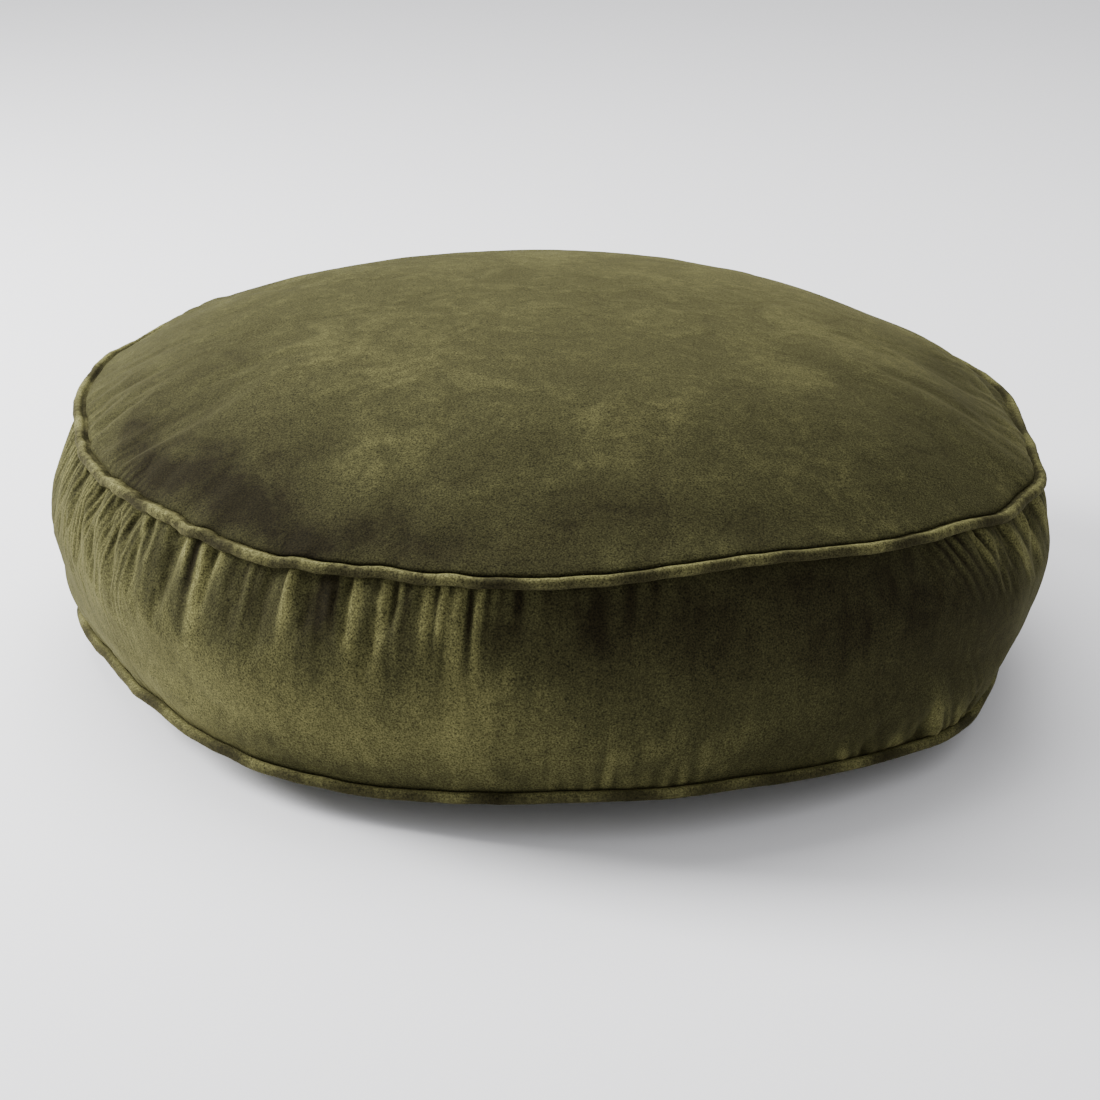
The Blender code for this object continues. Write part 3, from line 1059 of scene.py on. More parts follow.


# Top panel: partly brushed pile, partly painted shade inside the front-left seam and at the front,
# and painted light towards the middle and back.
CROWN_NAP_AND_PAINTED_LIGHT = (
    NapAndPaintedLightPatch(226, 287, 19, 20, -0.82), NapAndPaintedLightPatch(210, 280, 8, 14, -0.45),
    NapAndPaintedLightPatch(247, 286, 14, 18, -0.48), NapAndPaintedLightPatch(230, 250, 19, 28, -0.36),
    NapAndPaintedLightPatch(275, 262, 15, 30, -0.35), NapAndPaintedLightPatch(289, 268, 9, 22, -0.25),
    NapAndPaintedLightPatch(263, 211, 9, 34, -0.25), NapAndPaintedLightPatch(250, 245, 7, 22, 0.25),
    NapAndPaintedLightPatch(225, 150, 34, 70, 0.15), NapAndPaintedLightPatch(196, 240, 22, 50, -0.28),
    NapAndPaintedLightPatch(90, 190, 60, 95, 0.15),
    NapAndPaintedLightPatch(270, 215, 26, 40, 0.15),
    NapAndPaintedLightPatch(352, 262, 22, 26, -0.25), NapAndPaintedLightPatch(345, 150, 20, 40, 0.12),
)
# Band: partly brushed pile, partly painted shade on the right, away from the key light, and painted
# light on the lit left and front-left.
BAND_NAP_AND_PAINTED_LIGHT = (
    NapAndPaintedLightPatch(304, 146, 38, 42, -0.50), NapAndPaintedLightPatch(275, 146, 15, 34, -0.22),
    NapAndPaintedLightPatch(318, 85, 26, 60, -0.45), NapAndPaintedLightPatch(252, 126, 13, 30, -0.32),
    NapAndPaintedLightPatch(239, 124, 7, 26, -0.25), NapAndPaintedLightPatch(224, 70, 16, 42, 0.38),
    NapAndPaintedLightPatch(244, 66, 14, 36, 0.40),
    NapAndPaintedLightPatch(262, 84, 16, 34, 0.25),
    NapAndPaintedLightPatch(207, 118, 12, 30, 0.25), NapAndPaintedLightPatch(271, 48, 15, 20, 0.22),
    NapAndPaintedLightPatch(289, 58, 6, 16, 0.25), NapAndPaintedLightPatch(258, 80, 7, 30, 0.12),
    NapAndPaintedLightPatch(30, 95, 30, 60, -0.15), NapAndPaintedLightPatch(150, 95, 25, 50, 0.2),
)


def nap_and_painted_light_of(points: np.ndarray, level: np.ndarray, patches: Sequence[NapAndPaintedLightPatch]) -> np.ndarray:
    """Tone of each point, brushed pile with painted light and shade, from -1 where it is darkest to
    1 where it is lightest.

    Args:
        points: The points.
        level: Radius on a panel, or height on the band, at each point.
        patches: The patches of brushed pile and painted light and shade.

    Returns:
        The tone at each point.
    """
    azimuth = azimuth_of(points)
    wander = azimuth + 3.0 * np.sin(level / MM / 17.0) + 2.0 * np.sin(np.radians(azimuth) * 9)
    drift = level + 7 * MM * np.sin(np.radians(azimuth) * 13) + 4 * MM * np.sin(
        np.radians(azimuth) * 29 + 1.0)
    return sum((patch.shade(wander, drift) for patch in patches), np.zeros(len(points)))


# ---------------- finishes


def linear(colour: str) -> tuple[float, float, float, float]:
    """Linear RGBA of an sRGB hex colour."""
    parts = [int(colour[i:i + 2], 16) / 255 for i in (1, 3, 5)]
    return (*(p / 12.92 if p <= 0.04045 else ((p + 0.055) / 1.055) ** 2.4 for p in parts), 1.0)


class Tree:
    """A material's nodes, round its Principled shader."""

    def __init__(self, material: bpy.types.Material) -> None:
        """Clear the material down to its shader.

        Args:
            material: The material.
        """
        material.use_nodes = True
        self.nodes = material.node_tree.nodes
        self.links = material.node_tree.links
        self.shader = self.nodes["Principled BSDF"]

    def add(self, kind: str, sockets: dict, **settings: object) -> bpy.types.Node:
        """Add a node.

        Args:
            kind: The node's type without its ShaderNode.
            sockets: Values or output sockets for its inputs, by name or number.
            settings: Its own settings.

        Returns:
            The node.
        """
        node = self.nodes.new("ShaderNode" + kind)
        for key, value in settings.items():
            setattr(node, key, value)
        self.set(node, sockets)
        return node

    def set(self, node: bpy.types.Node, sockets: dict) -> None:
        """Set or link a node's inputs.

        Args:
            node: The node.
            sockets: Values or output sockets, by name or number.
        """
        for key, value in sockets.items():
            if isinstance(value, bpy.types.NodeSocket):
                self.links.new(value, node.inputs[key])
            else:
                node.inputs[key].default_value = value


@dataclass(frozen=True)
class Finish:
    """A finish, made once and shared by the pieces that have it."""

    name: str

    def material(self) -> bpy.types.Material:
        """The finish's material.

        Returns:
            The material.
        """
        made = bpy.data.materials.get(self.name)
        if made is None:
            made = bpy.data.materials.new(self.name)
            self.dress(Tree(made))
        return made

    def dress(self, tree: Tree) -> None:
        """Build the finish's nodes."""
        raise NotImplementedError


@dataclass(frozen=True)
class CottonVelvet(Finish):
    """Cut-pile cotton velvet, woven and dyed.

    The pile is about 1 mm deep. Its base colour holds painted light and shade: patches that are
    partly brushed pile and partly painted light and shade, and painted highlights on the ridges of
    tucks and creases with painted shade in their valleys. Its tips glow where the cloth turns away
    from the eye.
    Its tufts are finer than would show, so their grain is drawn coarser, at about 1 mm.
    """

    deep: str = "#18150a"
    middle: str = "#33321d"
    light: str = "#5a5836"
    glow: str = "#8b8656"
    patch_mm: float = 38.0
    streak_mm: float = 7.0
    pile_mm: float = 1.0
    patch_depth: float = 0.6
    streak_depth: float = 0.30
    # Depths of the painted light and shade: patches of brushed pile with painted light and shade,
    # and painted highlights on ridges with painted shade in valleys.
    nap_painted_light_depth: float = 0.55
    fold_painted_light_depth: float = 0.50

    def dress(self, tree: Tree) -> None:
        """Build the velvet's nodes.

        Args:
            tree: The material's nodes.
        """
        place = tree.add("TexCoord", {}).outputs["Object"]
        patch = tree.add("TexNoise", {"Vector": place, "Scale": 1000 / self.patch_mm,
                                      "Detail": 3.5, "Roughness": 0.58, "Distortion": 0.9})
        hang = tree.add("Mapping", {"Vector": place, "Scale": (1.0, 1.0, 0.16)})
        streak = tree.add("TexNoise", {"Vector": hang.outputs[0], "Scale": 1000 / self.streak_mm,
                                       "Detail": 2.0})
        pile = tree.add("TexNoise", {"Vector": place, "Scale": 1000 / self.pile_mm,
                                     "Detail": 2.0, "Roughness": 0.6})
        # Painted light and shade: the first attribute holds patches of brushed pile with painted
        # light and shade, the second painted highlights on ridges and painted shade in valleys.
        nap = tree.add("Attribute", {}, attribute_name="nap").outputs["Fac"]
        fold = tree.add("Attribute", {}, attribute_name="fold").outputs["Fac"]
        tone = tree.add("Math", {0: patch.outputs[0], 1: self.patch_depth,
                                 2: 0.5 - self.patch_depth / 2}, operation="MULTIPLY_ADD")
        for source, depth in ((streak.outputs[0], self.streak_depth), (nap, self.nap_painted_light_depth),
                              (fold, self.fold_painted_light_depth)):
            tone = tree.add("Math", {0: source, 1: depth, 2: tone.outputs[0]},
                            operation="MULTIPLY_ADD")
        low = tree.add("MapRange", {0: tone.outputs[0], 1: 0.17, 2: 0.67})
        high = tree.add("MapRange", {0: tone.outputs[0], 1: 0.67, 2: 1.17})
        shade = tree.add("Mix", {0: low.outputs[0], 6: linear(self.deep), 7: linear(self.middle)},
                         data_type="RGBA")
        shade = tree.add("Mix", {0: high.outputs[0], 6: shade.outputs[2],
                                 7: linear(self.light)}, data_type="RGBA")
        tips = tree.add("MapRange", {0: pile.outputs[0], 1: 0.26, 2: 0.74, 3: 0.1, 4: 1.9})
        shade = tree.add("VectorMath", {0: shade.outputs[2], "Scale": tips.outputs[0]},
                         operation="SCALE")
        lean = tree.add("Bump", {"Height": patch.outputs[0], "Strength": 0.35,
                                 "Distance": 4 * MM})
        grain = tree.add("Bump", {"Height": pile.outputs[0], "Strength": 0.55,
                                  "Distance": 0.5 * MM, "Normal": lean.outputs[0]})
        tree.set(tree.shader, {
            "Base Color": shade.outputs[0], "Normal": grain.outputs[0], "Roughness": 0.92,
            "Specular IOR Level": 0.06, "Sheen Weight": 0.27, "Sheen Roughness": 0.40,
            "Sheen Tint": linear(self.glow)})


@dataclass(frozen=True)
class TwistedCotton(Finish):
    """Undyed cotton filler cord: matt, with fibres along its twist."""

    light: str = "#e2d9c4"
    dark: str = "#a3977d"
    fibre_mm: float = 0.4

    def dress(self, tree: Tree) -> None:
        """Build the cord's nodes.

        Args:
            tree: The material's nodes.
        """
        place = tree.add("TexCoord", {}).outputs["Object"]
        fibre = tree.add("TexNoise", {"Vector": place, "Scale": 1000 / self.fibre_mm,
                                      "Detail": 3.0})
        shade = tree.add("Mix", {0: fibre.outputs[0], 6: linear(self.dark),
                                 7: linear(self.light)}, data_type="RGBA")
        bump = tree.add("Bump", {"Height": fibre.outputs[0], "Strength": 0.5,
                                 "Distance": 0.3 * MM})
        tree.set(tree.shader, {"Base Color": shade.outputs[2], "Normal": bump.outputs[0],
                               "Roughness": 0.95, "Specular IOR Level": 0.2})


@dataclass(frozen=True)
class WovenCloth(Finish):
    """A plain weave, read along the piece's own UV map in metres, so its threads follow it.

    Threads are too fine to show, so they are drawn coarser, at twice their real spacing.
    """

    dark: str
    light: str
    warp_mm: float
    weft_mm: float
    sheen: float = 0.1
    rough: float = 0.85
    coarser: float = 2.0

    def dress(self, tree: Tree) -> None:
        """Build the weave's nodes.

        Args:
            tree: The material's nodes.
        """
        laid = tree.add("UVMap", {}, uv_map="along").outputs[0]
        turns = {"wave_type": "BANDS", "wave_profile": "SIN"}
        warp = tree.add("TexWave", {"Vector": laid, "Scale": WAVE_MM / self.warp_mm / self.coarser},
                        bands_direction="X", **turns)
        weft = tree.add("TexWave", {"Vector": laid, "Scale": WAVE_MM / self.weft_mm / self.coarser},
                        bands_direction="Y", **turns)
        slub = tree.add("TexNoise", {"Vector": tree.add("TexCoord", {}).outputs["Object"],
                                     "Scale": 140.0, "Detail": 4.0})
        cross = tree.add("Math", {0: warp.outputs["Fac"], 1: weft.outputs["Fac"]},
                         operation="MULTIPLY")
        mixed = tree.add("Math", {0: cross.outputs[0], 1: 0.6, 2: slub.outputs[0]},
                         operation="MULTIPLY_ADD")
        shade = tree.add("Mix", {0: mixed.outputs[0], 6: linear(self.dark),
                                 7: linear(self.light)}, data_type="RGBA")
        bump = tree.add("Bump", {"Height": cross.outputs[0], "Strength": 0.6,
                                 "Distance": 0.2 * MM})
        tree.set(tree.shader, {"Base Color": shade.outputs[2], "Normal": bump.outputs[0],
                               "Roughness": self.rough, "Sheen Weight": self.sheen,
                               "Specular IOR Level": 0.25})


@dataclass(frozen=True)
class Nylon(Finish):
    """Dyed nylon monofilament: smooth and a little glossy, with a faint change of dye."""

    dark: str = "#1c1b10"
    light: str = "#33321c"

    def dress(self, tree: Tree) -> None:
        """Build the nylon's nodes.

        Args:
            tree: The material's nodes.
        """
        place = tree.add("TexCoord", {}).outputs["Object"]
        dye = tree.add("TexNoise", {"Vector": place, "Scale": 260.0, "Detail": 2.0})
        shade = tree.add("Mix", {0: dye.outputs[0], 6: linear(self.dark),
                                 7: linear(self.light)}, data_type="RGBA")
        rough = tree.add("MapRange", {0: dye.outputs[0], 3: 0.28, 4: 0.48})
        tree.set(tree.shader, {"Base Color": shade.outputs[2], "Roughness": rough.outputs[0],
                               "IOR": 1.53})


@dataclass(frozen=True)
class AntiqueBrass(Finish):
    """Die-cast zinc plated with brass and darkened: dull in its hollows, rubbed on its edges."""

    dark: str = "#3a3020"
    light: str = "#83714a"

    def dress(self, tree: Tree) -> None:
        """Build the brass's nodes.

        Args:
            tree: The material's nodes.
        """
        place = tree.add("TexCoord", {}).outputs["Object"]
        wear = tree.add("TexNoise", {"Vector": place, "Scale": 420.0, "Detail": 5.0,
                                     "Roughness": 0.62})
        edge = tree.add("NewGeometry", {}).outputs["Pointiness"]
        rubbed = tree.add("MapRange", {0: edge, 1: 0.49, 2: 0.56, 3: 0.0, 4: 0.7})
        both = tree.add("Math", {0: wear.outputs[0], 1: rubbed.outputs[0]}, operation="ADD",
                        use_clamp=True)
        shade = tree.add("Mix", {0: both.outputs[0], 6: linear(self.dark),
                                 7: linear(self.light)}, data_type="RGBA")
        rough = tree.add("MapRange", {0: both.outputs[0], 3: 0.5, 4: 0.28})
        bump = tree.add("Bump", {"Height": wear.outputs[0], "Strength": 0.15,
                                 "Distance": 0.1 * MM})
        tree.set(tree.shader, {"Base Color": shade.outputs[2], "Metallic": 1.0,
                               "Roughness": rough.outputs[0], "Normal": bump.outputs[0]})


@dataclass(frozen=True)
class PolyesterFibre(Finish):
    """Carded hollow polyester fibre: white, matt and clumped."""

    shade: str = "#d9d9d4"
    light: str = "#f4f4f0"

    def dress(self, tree: Tree) -> None:
        """Build the filling's nodes.

        Args:
            tree: The material's nodes.
        """
        place = tree.add("TexCoord", {}).outputs["Object"]
        clump = tree.add("TexNoise", {"Vector": place, "Scale": 60.0, "Detail": 6.0,
                                      "Roughness": 0.7, "Distortion": 1.5})
        colour = tree.add("Mix", {0: clump.outputs[0], 6: linear(self.shade),
                                  7: linear(self.light)}, data_type="RGBA")
        bump = tree.add("Bump", {"Height": clump.outputs[0], "Strength": 0.8,
                                 "Distance": 2 * MM})
        tree.set(tree.shader, {"Base Color": colour.outputs[2], "Normal": bump.outputs[0],
                               "Roughness": 0.95, "Sheen Weight": 0.3})


@dataclass(frozen=True)
class StudioPaper(Finish):
    """Matt paper from a roll, lit evenly."""

    colour: str = "#f1f1f3"

    def dress(self, tree: Tree) -> None:
        """Build the paper's nodes.

        Args:
            tree: The material's nodes.
        """
        place = tree.add("TexCoord", {}).outputs["Object"]
        tooth = tree.add("TexNoise", {"Vector": place, "Scale": 500.0, "Detail": 2.0})
        base = np.array(linear(self.colour))
        shade = tree.add("Mix", {0: tooth.outputs[0], 6: tuple(base * 0.992), 7: tuple(base)},
                         data_type="RGBA")
        tree.set(tree.shader, {"Base Color": shade.outputs[2], "Roughness": 0.95,
                               "Specular IOR Level": 0.1})


VELVET = CottonVelvet("cotton_velvet")
PIPING = CottonVelvet("velvet_piping_bias_cut", deep="#18150a", middle="#32301d", light="#5c5a38",
                      patch_mm=24.0, streak_mm=2.5, patch_depth=0.35)
TAPE = WovenCloth("polyester_zip_tape", "#1e1d12", "#36351f", 0.9, 0.7, rough=0.75, sheen=0.0)
THREAD = WovenCloth("polyester_thread", "#38341f", "#6b6541", 0.5, 0.5, rough=0.55)
LINING = WovenCloth("calico_insert_cloth", "#d8d4c6", "#f1eee4", 1.4, 1.4)
FILLER = TwistedCotton("twisted_cotton_cord")
COIL = Nylon("nylon_coil")
BRASS = AntiqueBrass("antique_brass")
FIBRE = PolyesterFibre("polyester_fibre")
PAPER = StudioPaper("studio_paper")


# ---------------- the cover's pieces


@dataclass(frozen=True)
class Cloth:
    """How the velvet is sewn: half of a seam's depth, the turned allowance and the thickness."""

    seam_face: float = 1.65 * MM
    allowance: float = 12 * MM
    thickness: float = 1.1 * MM
    spread: float = 11 * MM


CLOTH = Cloth()


@dataclass
class Panel:
    """A round panel of the cover: the top one or the underside."""

    name: str
    node: str
    cover: FilledCover
    first_face: int
    last_face: int
    half: Half
    seam: SeamRing
    tucks: tuple[Tucks, ...]
    folds: tuple[LongFold, ...]
    patches: tuple[NapAndPaintedLightPatch, ...]
    fill: float

    def build(self, full: np.ndarray) -> bpy.types.Object:
        """Cut the panel from the filled cover and finish it.

        Args:
            full: The filled cover's points.

        Returns:
            The panel.
        """
        maker = MeshMaker()
        cut = self.cover.maker.faces[self.first_face:self.last_face]
        used = sorted({number for face in cut for number in face})
        renumber = dict(zip(used, range(len(used))))
        maker.add(full[used])
        maker.faces = [tuple(renumber[number] for number in face) for face in cut]
        row = 0 if self.half is Half.UPPER else -1
        rim = np.array([renumber[number] for number in self.cover.band_numbers[row]])
        edge = full[self.cover.band_numbers[row]]
        azimuth = azimuth_of(edge)
        for share in (0.35, 1.0):
            turned = polar(azimuth, radius_of(edge) - CLOTH.allowance * share, edge[:, 2])
            hem = maker.add(turned)
            maker.join(rim, hem)
            rim = hem
        hem_from = len(used)
        panel = maker.build(self.name)
        points = coordinates(panel)
        away = self._away(points)
        level = bell(away, CLOTH.spread)
        level[hem_from:] = 1.0
        points[:, 2] += self.half.value * CLOTH.seam_face * level
        set_coordinates(panel, points)
        face_along(panel, self.half)
        apply(panel, "SUBSURF", levels=1, render_levels=1, boundary_smooth="PRESERVE_CORNERS")
        self._tuck(panel)
        wall(panel, CLOTH.thickness)
        return declare(panel, Body.CUSHION, Slot.VELVET, VELVET, self.node)

    def _away(self, points: np.ndarray) -> np.ndarray:
        """Distance of each point from the seam.

        Args:
            points: The points.

        Returns:
            The distances.
        """
        radius, height = self.seam.line(azimuth_of(points))
        across = radius - self.cover.outline.corner - radius_of(points)
        return np.hypot(np.maximum(across, 0.0), points[:, 2] - height)

    def _tuck(self, panel: bpy.types.Object) -> None:
        """Add the fine tucks, the long folds, and the tone of brushed pile with painted light and
        shade.

        Args:
            panel: The panel, changed in place.
        """
        points, out = coordinates(panel), normals(panel)
        azimuth, radius, away = azimuth_of(points), radius_of(points), self._away(points)
        inner = self.seam.radius - CLOTH.allowance * 1.2
        facing = ease(0.02, 0.25, out[:, 2] * self.half.value)
        facing = np.where(radius > inner, facing, 1.0)
        facing = facing * ease(0.0, 3 * MM, away)
        tucked = sum(tuck.rise(azimuth, radius, away) for tuck in self.tucks) * facing
        folded = sum((fold.rise(azimuth, radius) for fold in self.folds), np.zeros(len(points)))
        rise = tucked + folded * facing
        moved = points + out * (rise * MM)[:, None]
        moved[:, 2] = np.maximum(moved[:, 2], 0.0)
        set_coordinates(panel, moved)
        # Painted light and shade: patches of tone, and painted highlights on the tucks' ridges with
        # painted shade in their valleys.
        note(panel, "nap", nap_and_painted_light_of(moved, radius, self.patches))
        note(panel, "fold", np.clip(tucked + 0.12 * folded, -1.0, 1.0))


@dataclass
class Band:
    """The upright band: a long front stretch, and two strips at the back that the zip joins."""

    cover: FilledCover
    times: int = 4
    end_dip: float = 1.5 * MM
    end_width: float = 2.6 * MM
    fold_radius: float = 0.7 * MM
    strip_rows: int = 26
    over_tape: float = 317.7 * MM
    stitch_inset: float = 3.2 * MM
    stitch_length: float = 2.5 * MM
    stitch_pitch: float = 3.3 * MM
    thread: float = 0.32 * MM
    groove_width: float = 1.1 * MM
    groove_rise: float = -0.35

    def __post_init__(self) -> None:
        """Refine the band's rows and columns."""
        across = finer(np.swapaxes(self.cover.band, 0, 1), self.times, closed=True)
        self.grid = finer(np.swapaxes(across, 0, 1), 2, closed=False)
        outline = self.cover.outline
        sizes = outline.sizes
        azimuth, z = azimuth_of(self.grid), self.grid[..., 2]
        self.from_top = outline.top.line(azimuth)[1] - z
        self.from_low = z - outline.bottom.line(azimuth)[1]
        shift = bell(self.from_low, CLOTH.spread) - bell(self.from_top, CLOTH.spread)
        self.grid[..., 2] = z + CLOTH.seam_face * shift
        columns = self.grid.shape[1]
        self.first = round(sizes.zip_start / 360 * columns)
        self.last = round(sizes.zip_end / 360 * columns)

    def _rise(self, grid: np.ndarray, top: np.ndarray, low: np.ndarray) -> np.ndarray:
        """Height of the tucks and creases, in millimetres.

        Args:
            grid: The band's outer points.
            top: Distance of each point from the top seam.
            low: Distance of each point from the bottom seam.

        Returns:
            The heights.
        """
        azimuth, radius = azimuth_of(grid), radius_of(grid)
        total = np.zeros(grid.shape[:2])
        for piece in (*BAND_TUCKS, *BAND_CREASES):
            away = top if piece.seam is Seam.TOP else low
            total = total + piece.rise(azimuth, radius, np.maximum(away, 0.0))
        return total

    def _finish(self, name: str, node: str, grid: np.ndarray, rise: np.ndarray,
                hem_top: bool, hem_low: bool) -> bpy.types.Object:
        """Make one piece of the band from its outer points.

        Args:
            name: The piece's name.
            node: The node that it stands for.
            grid: Its outer points, in rows that run down.
            rise: How far its tucks stand out, in millimetres.
            hem_top: Whether its upper edge is turned into the top seam.
            hem_low: Whether its lower edge is turned into the bottom seam.

        Returns:
            The piece.
        """
        sizes = self.cover.outline.sizes
        middle = azimuth_of(grid[:1])[0]
        along = np.radians(around(middle, middle[0]) % 360.0) * sizes.top_radius
        end = np.minimum(along, along[-1] - along)
        dip = self.end_dip * bell(end, self.end_width)
        settle = ease(0.0, 8 * MM, end)
        moved = grid + outward(grid) * (rise * MM * settle - dip)[..., None]
        rows, rises = [moved], [rise]
        if hem_top:
            rows.insert(0, self._hem(moved[0]))
            rises.insert(0, np.zeros_like(rise[:2]))
        if hem_low:
            rows.append(self._hem(moved[-1])[::-1])
            rises.append(np.zeros_like(rise[:2]))
        whole, rises = np.concatenate(rows), np.concatenate(rises)
        maker = MeshMaker()
        maker.grid(maker.add(whole))
        piece = maker.build(name)
        face_outwards(piece, len(piece.data.polygons) // 2)
        flat = whole.reshape(-1, 3)
        # Painted light and shade: patches of tone, darker on the right and lighter on the lit left,
        # and painted highlights on ridges with painted shade in valleys and in the stitch groove.
        note(piece, "nap", nap_and_painted_light_of(flat, flat[:, 2], BAND_NAP_AND_PAINTED_LIGHT))
        note(piece, "fold", np.clip(rises.reshape(-1) * 0.9, -1.0, 1.0))
        wall(piece, CLOTH.thickness)
        return declare(piece, Body.CUSHION, Slot.VELVET, VELVET, node)

    def _hem(self, edge: np.ndarray) -> np.ndarray:
        """Two rows that turn an edge into its seam, the innermost first.

        Args:
            edge: The edge's points.

        Returns:
            The two rows.
        """
        azimuth, radius = azimuth_of(edge), radius_of(edge)
        return np.stack([polar(azimuth, radius - CLOTH.allowance * share, edge[:, 2])
                         for share in (1.0, 0.3)])

    def front(self) -> bpy.types.Object:
        """The long front stretch.

        Returns:
            The piece.
        """
        columns = self.grid.shape[1]
        chosen = np.arange(self.last, self.first + columns + 1) % columns
        grid = self.grid[:, chosen]
        rise = self._rise(grid, self.from_top[:, chosen], self.from_low[:, chosen])
        return self._finish("band_front", "boxing_front", grid, rise, True, True)

    def _strip_radius(self, column: int, heights: np.ndarray) -> np.ndarray:
        """Radius of a strip's face at some heights of a column, never inside the zip's tapes.

        Args:
            column: Number of the column.
            heights: The heights.

        Returns:
            The radii.
        """
        points = self.grid[::-1, column]
        natural = np.interp(heights, points[:, 2], radius_of(points))
        off = np.abs(heights - self.cover.outline.sizes.zip_height)
        least = self.over_tape - ease(16 * MM, 30 * MM, off) * 12 * MM
        return np.where(off < 30 * MM, np.maximum(natural, least), natural)

    def strip(self, half: Half) -> bpy.types.Object:
        """One of the two strips that the zip joins.

        Args:
            half: Which one.

        Returns:
            The strip.
        """
        sizes = self.cover.outline.sizes
        grid = self.grid[:, self.first:self.last + 1]
        upper, side = half is Half.UPPER, half.value
        edge = sizes.zip_height + side * sizes.zip_opening / 2
        seam = grid[0, :, 2] if upper else grid[-1, :, 2]
        share = np.linspace(0, 1, self.strip_rows + 1) ** 0.9
        heights = seam + (edge - seam) * share[:, None]
        heights = np.concatenate([heights, heights[-1:]])
        azimuth = azimuth_of(grid)
        out = np.stack([self._strip_radius(self.first + column, heights[:, column])
                        for column in range(grid.shape[1])], axis=1)
        out[-1] -= self.fold_radius
        heights[-2] += side * self.fold_radius * 0.6
        made = polar(azimuth[0], out, heights)
        top, low = np.abs(heights - grid[0, :, 2]), np.abs(heights - grid[-1, :, 2])
        from_edge = np.abs(heights - edge)
        rise = self._rise(made, top, low) * ease(3 * MM, 20 * MM, from_edge)
        pressed = bell(from_edge - self.stitch_inset, self.groove_width) * self.groove_rise
        rise = rise + pressed
        if not upper:
            made, rise = made[::-1], rise[::-1]
        return self._finish("band_zip_" + half.word, "boxing_zip_" + half.word, made, rise,
                            upper, not upper)

    def topstitch(self, half: Half) -> bpy.types.Object:
        """The row of stitches that holds a strip to its tape.

        Args:
            half: Which strip they are on.

        Returns:
            The stitches, as one piece.
        """
        sizes = self.cover.outline.sizes
        level = sizes.zip_height + half.value * (sizes.zip_opening / 2 + self.stitch_inset)
        many = int(math.radians(sizes.zip_arc) * self.over_tape / self.stitch_pitch)
        bpy.ops.object.select_all(action="DESELECT")
        bpy.ops.mesh.primitive_cylinder_add(vertices=6, radius=self.thread,
                                            depth=self.stitch_length, rotation=(math.pi / 2, 0, 0))
        stitch = bpy.context.object
        bpy.ops.object.transform_apply(location=False, rotation=True, scale=False)
        apply(stitch, "BEVEL", width=self.thread * 0.6, segments=1)
        one = coordinates(stitch)
        faces = [tuple(face.vertices) for face in stitch.data.polygons]
        bpy.data.objects.remove(stitch, do_unlink=True)
        maker = MeshMaker()
        for share in (np.arange(many) + 0.5) / many:
            column = self.first + round(share * (self.last - self.first))
            radius = self._strip_radius(column, np.array([level]))[0]
            turn = sizes.zip_start + sizes.zip_arc * share
            numbers = maker.add(along_zip(one, turn, radius, level))
            maker.faces.extend(tuple(numbers[n] for n in face) for face in faces)
        row = maker.build("topstitch_" + half.word)
        points = coordinates(row)
        lay_uv(row, np.radians(azimuth_of(points)) * self.over_tape, points[:, 2])
        return declare(row, Body.CUSHION, Slot.TAPE, THREAD)


def along_zip(points: np.ndarray, azimuth: float, radius: float, height: float) -> np.ndarray:
    """Points given outward, along the zip and up, set at a place on the zip.

    Args:
        points: The points, near their own origin.
        azimuth: Azimuth of the place.
        radius: Its radius.
        height: Its height.

    Returns:
        The points in place.
    """
    turn = math.radians(azimuth)
    out, along = points[:, 0] + radius, points[:, 1]
    return np.stack([out * math.cos(turn) - along * math.sin(turn),
                     out * math.sin(turn) + along * math.cos(turn), points[:, 2] + height], -1)


# ---------------- welts


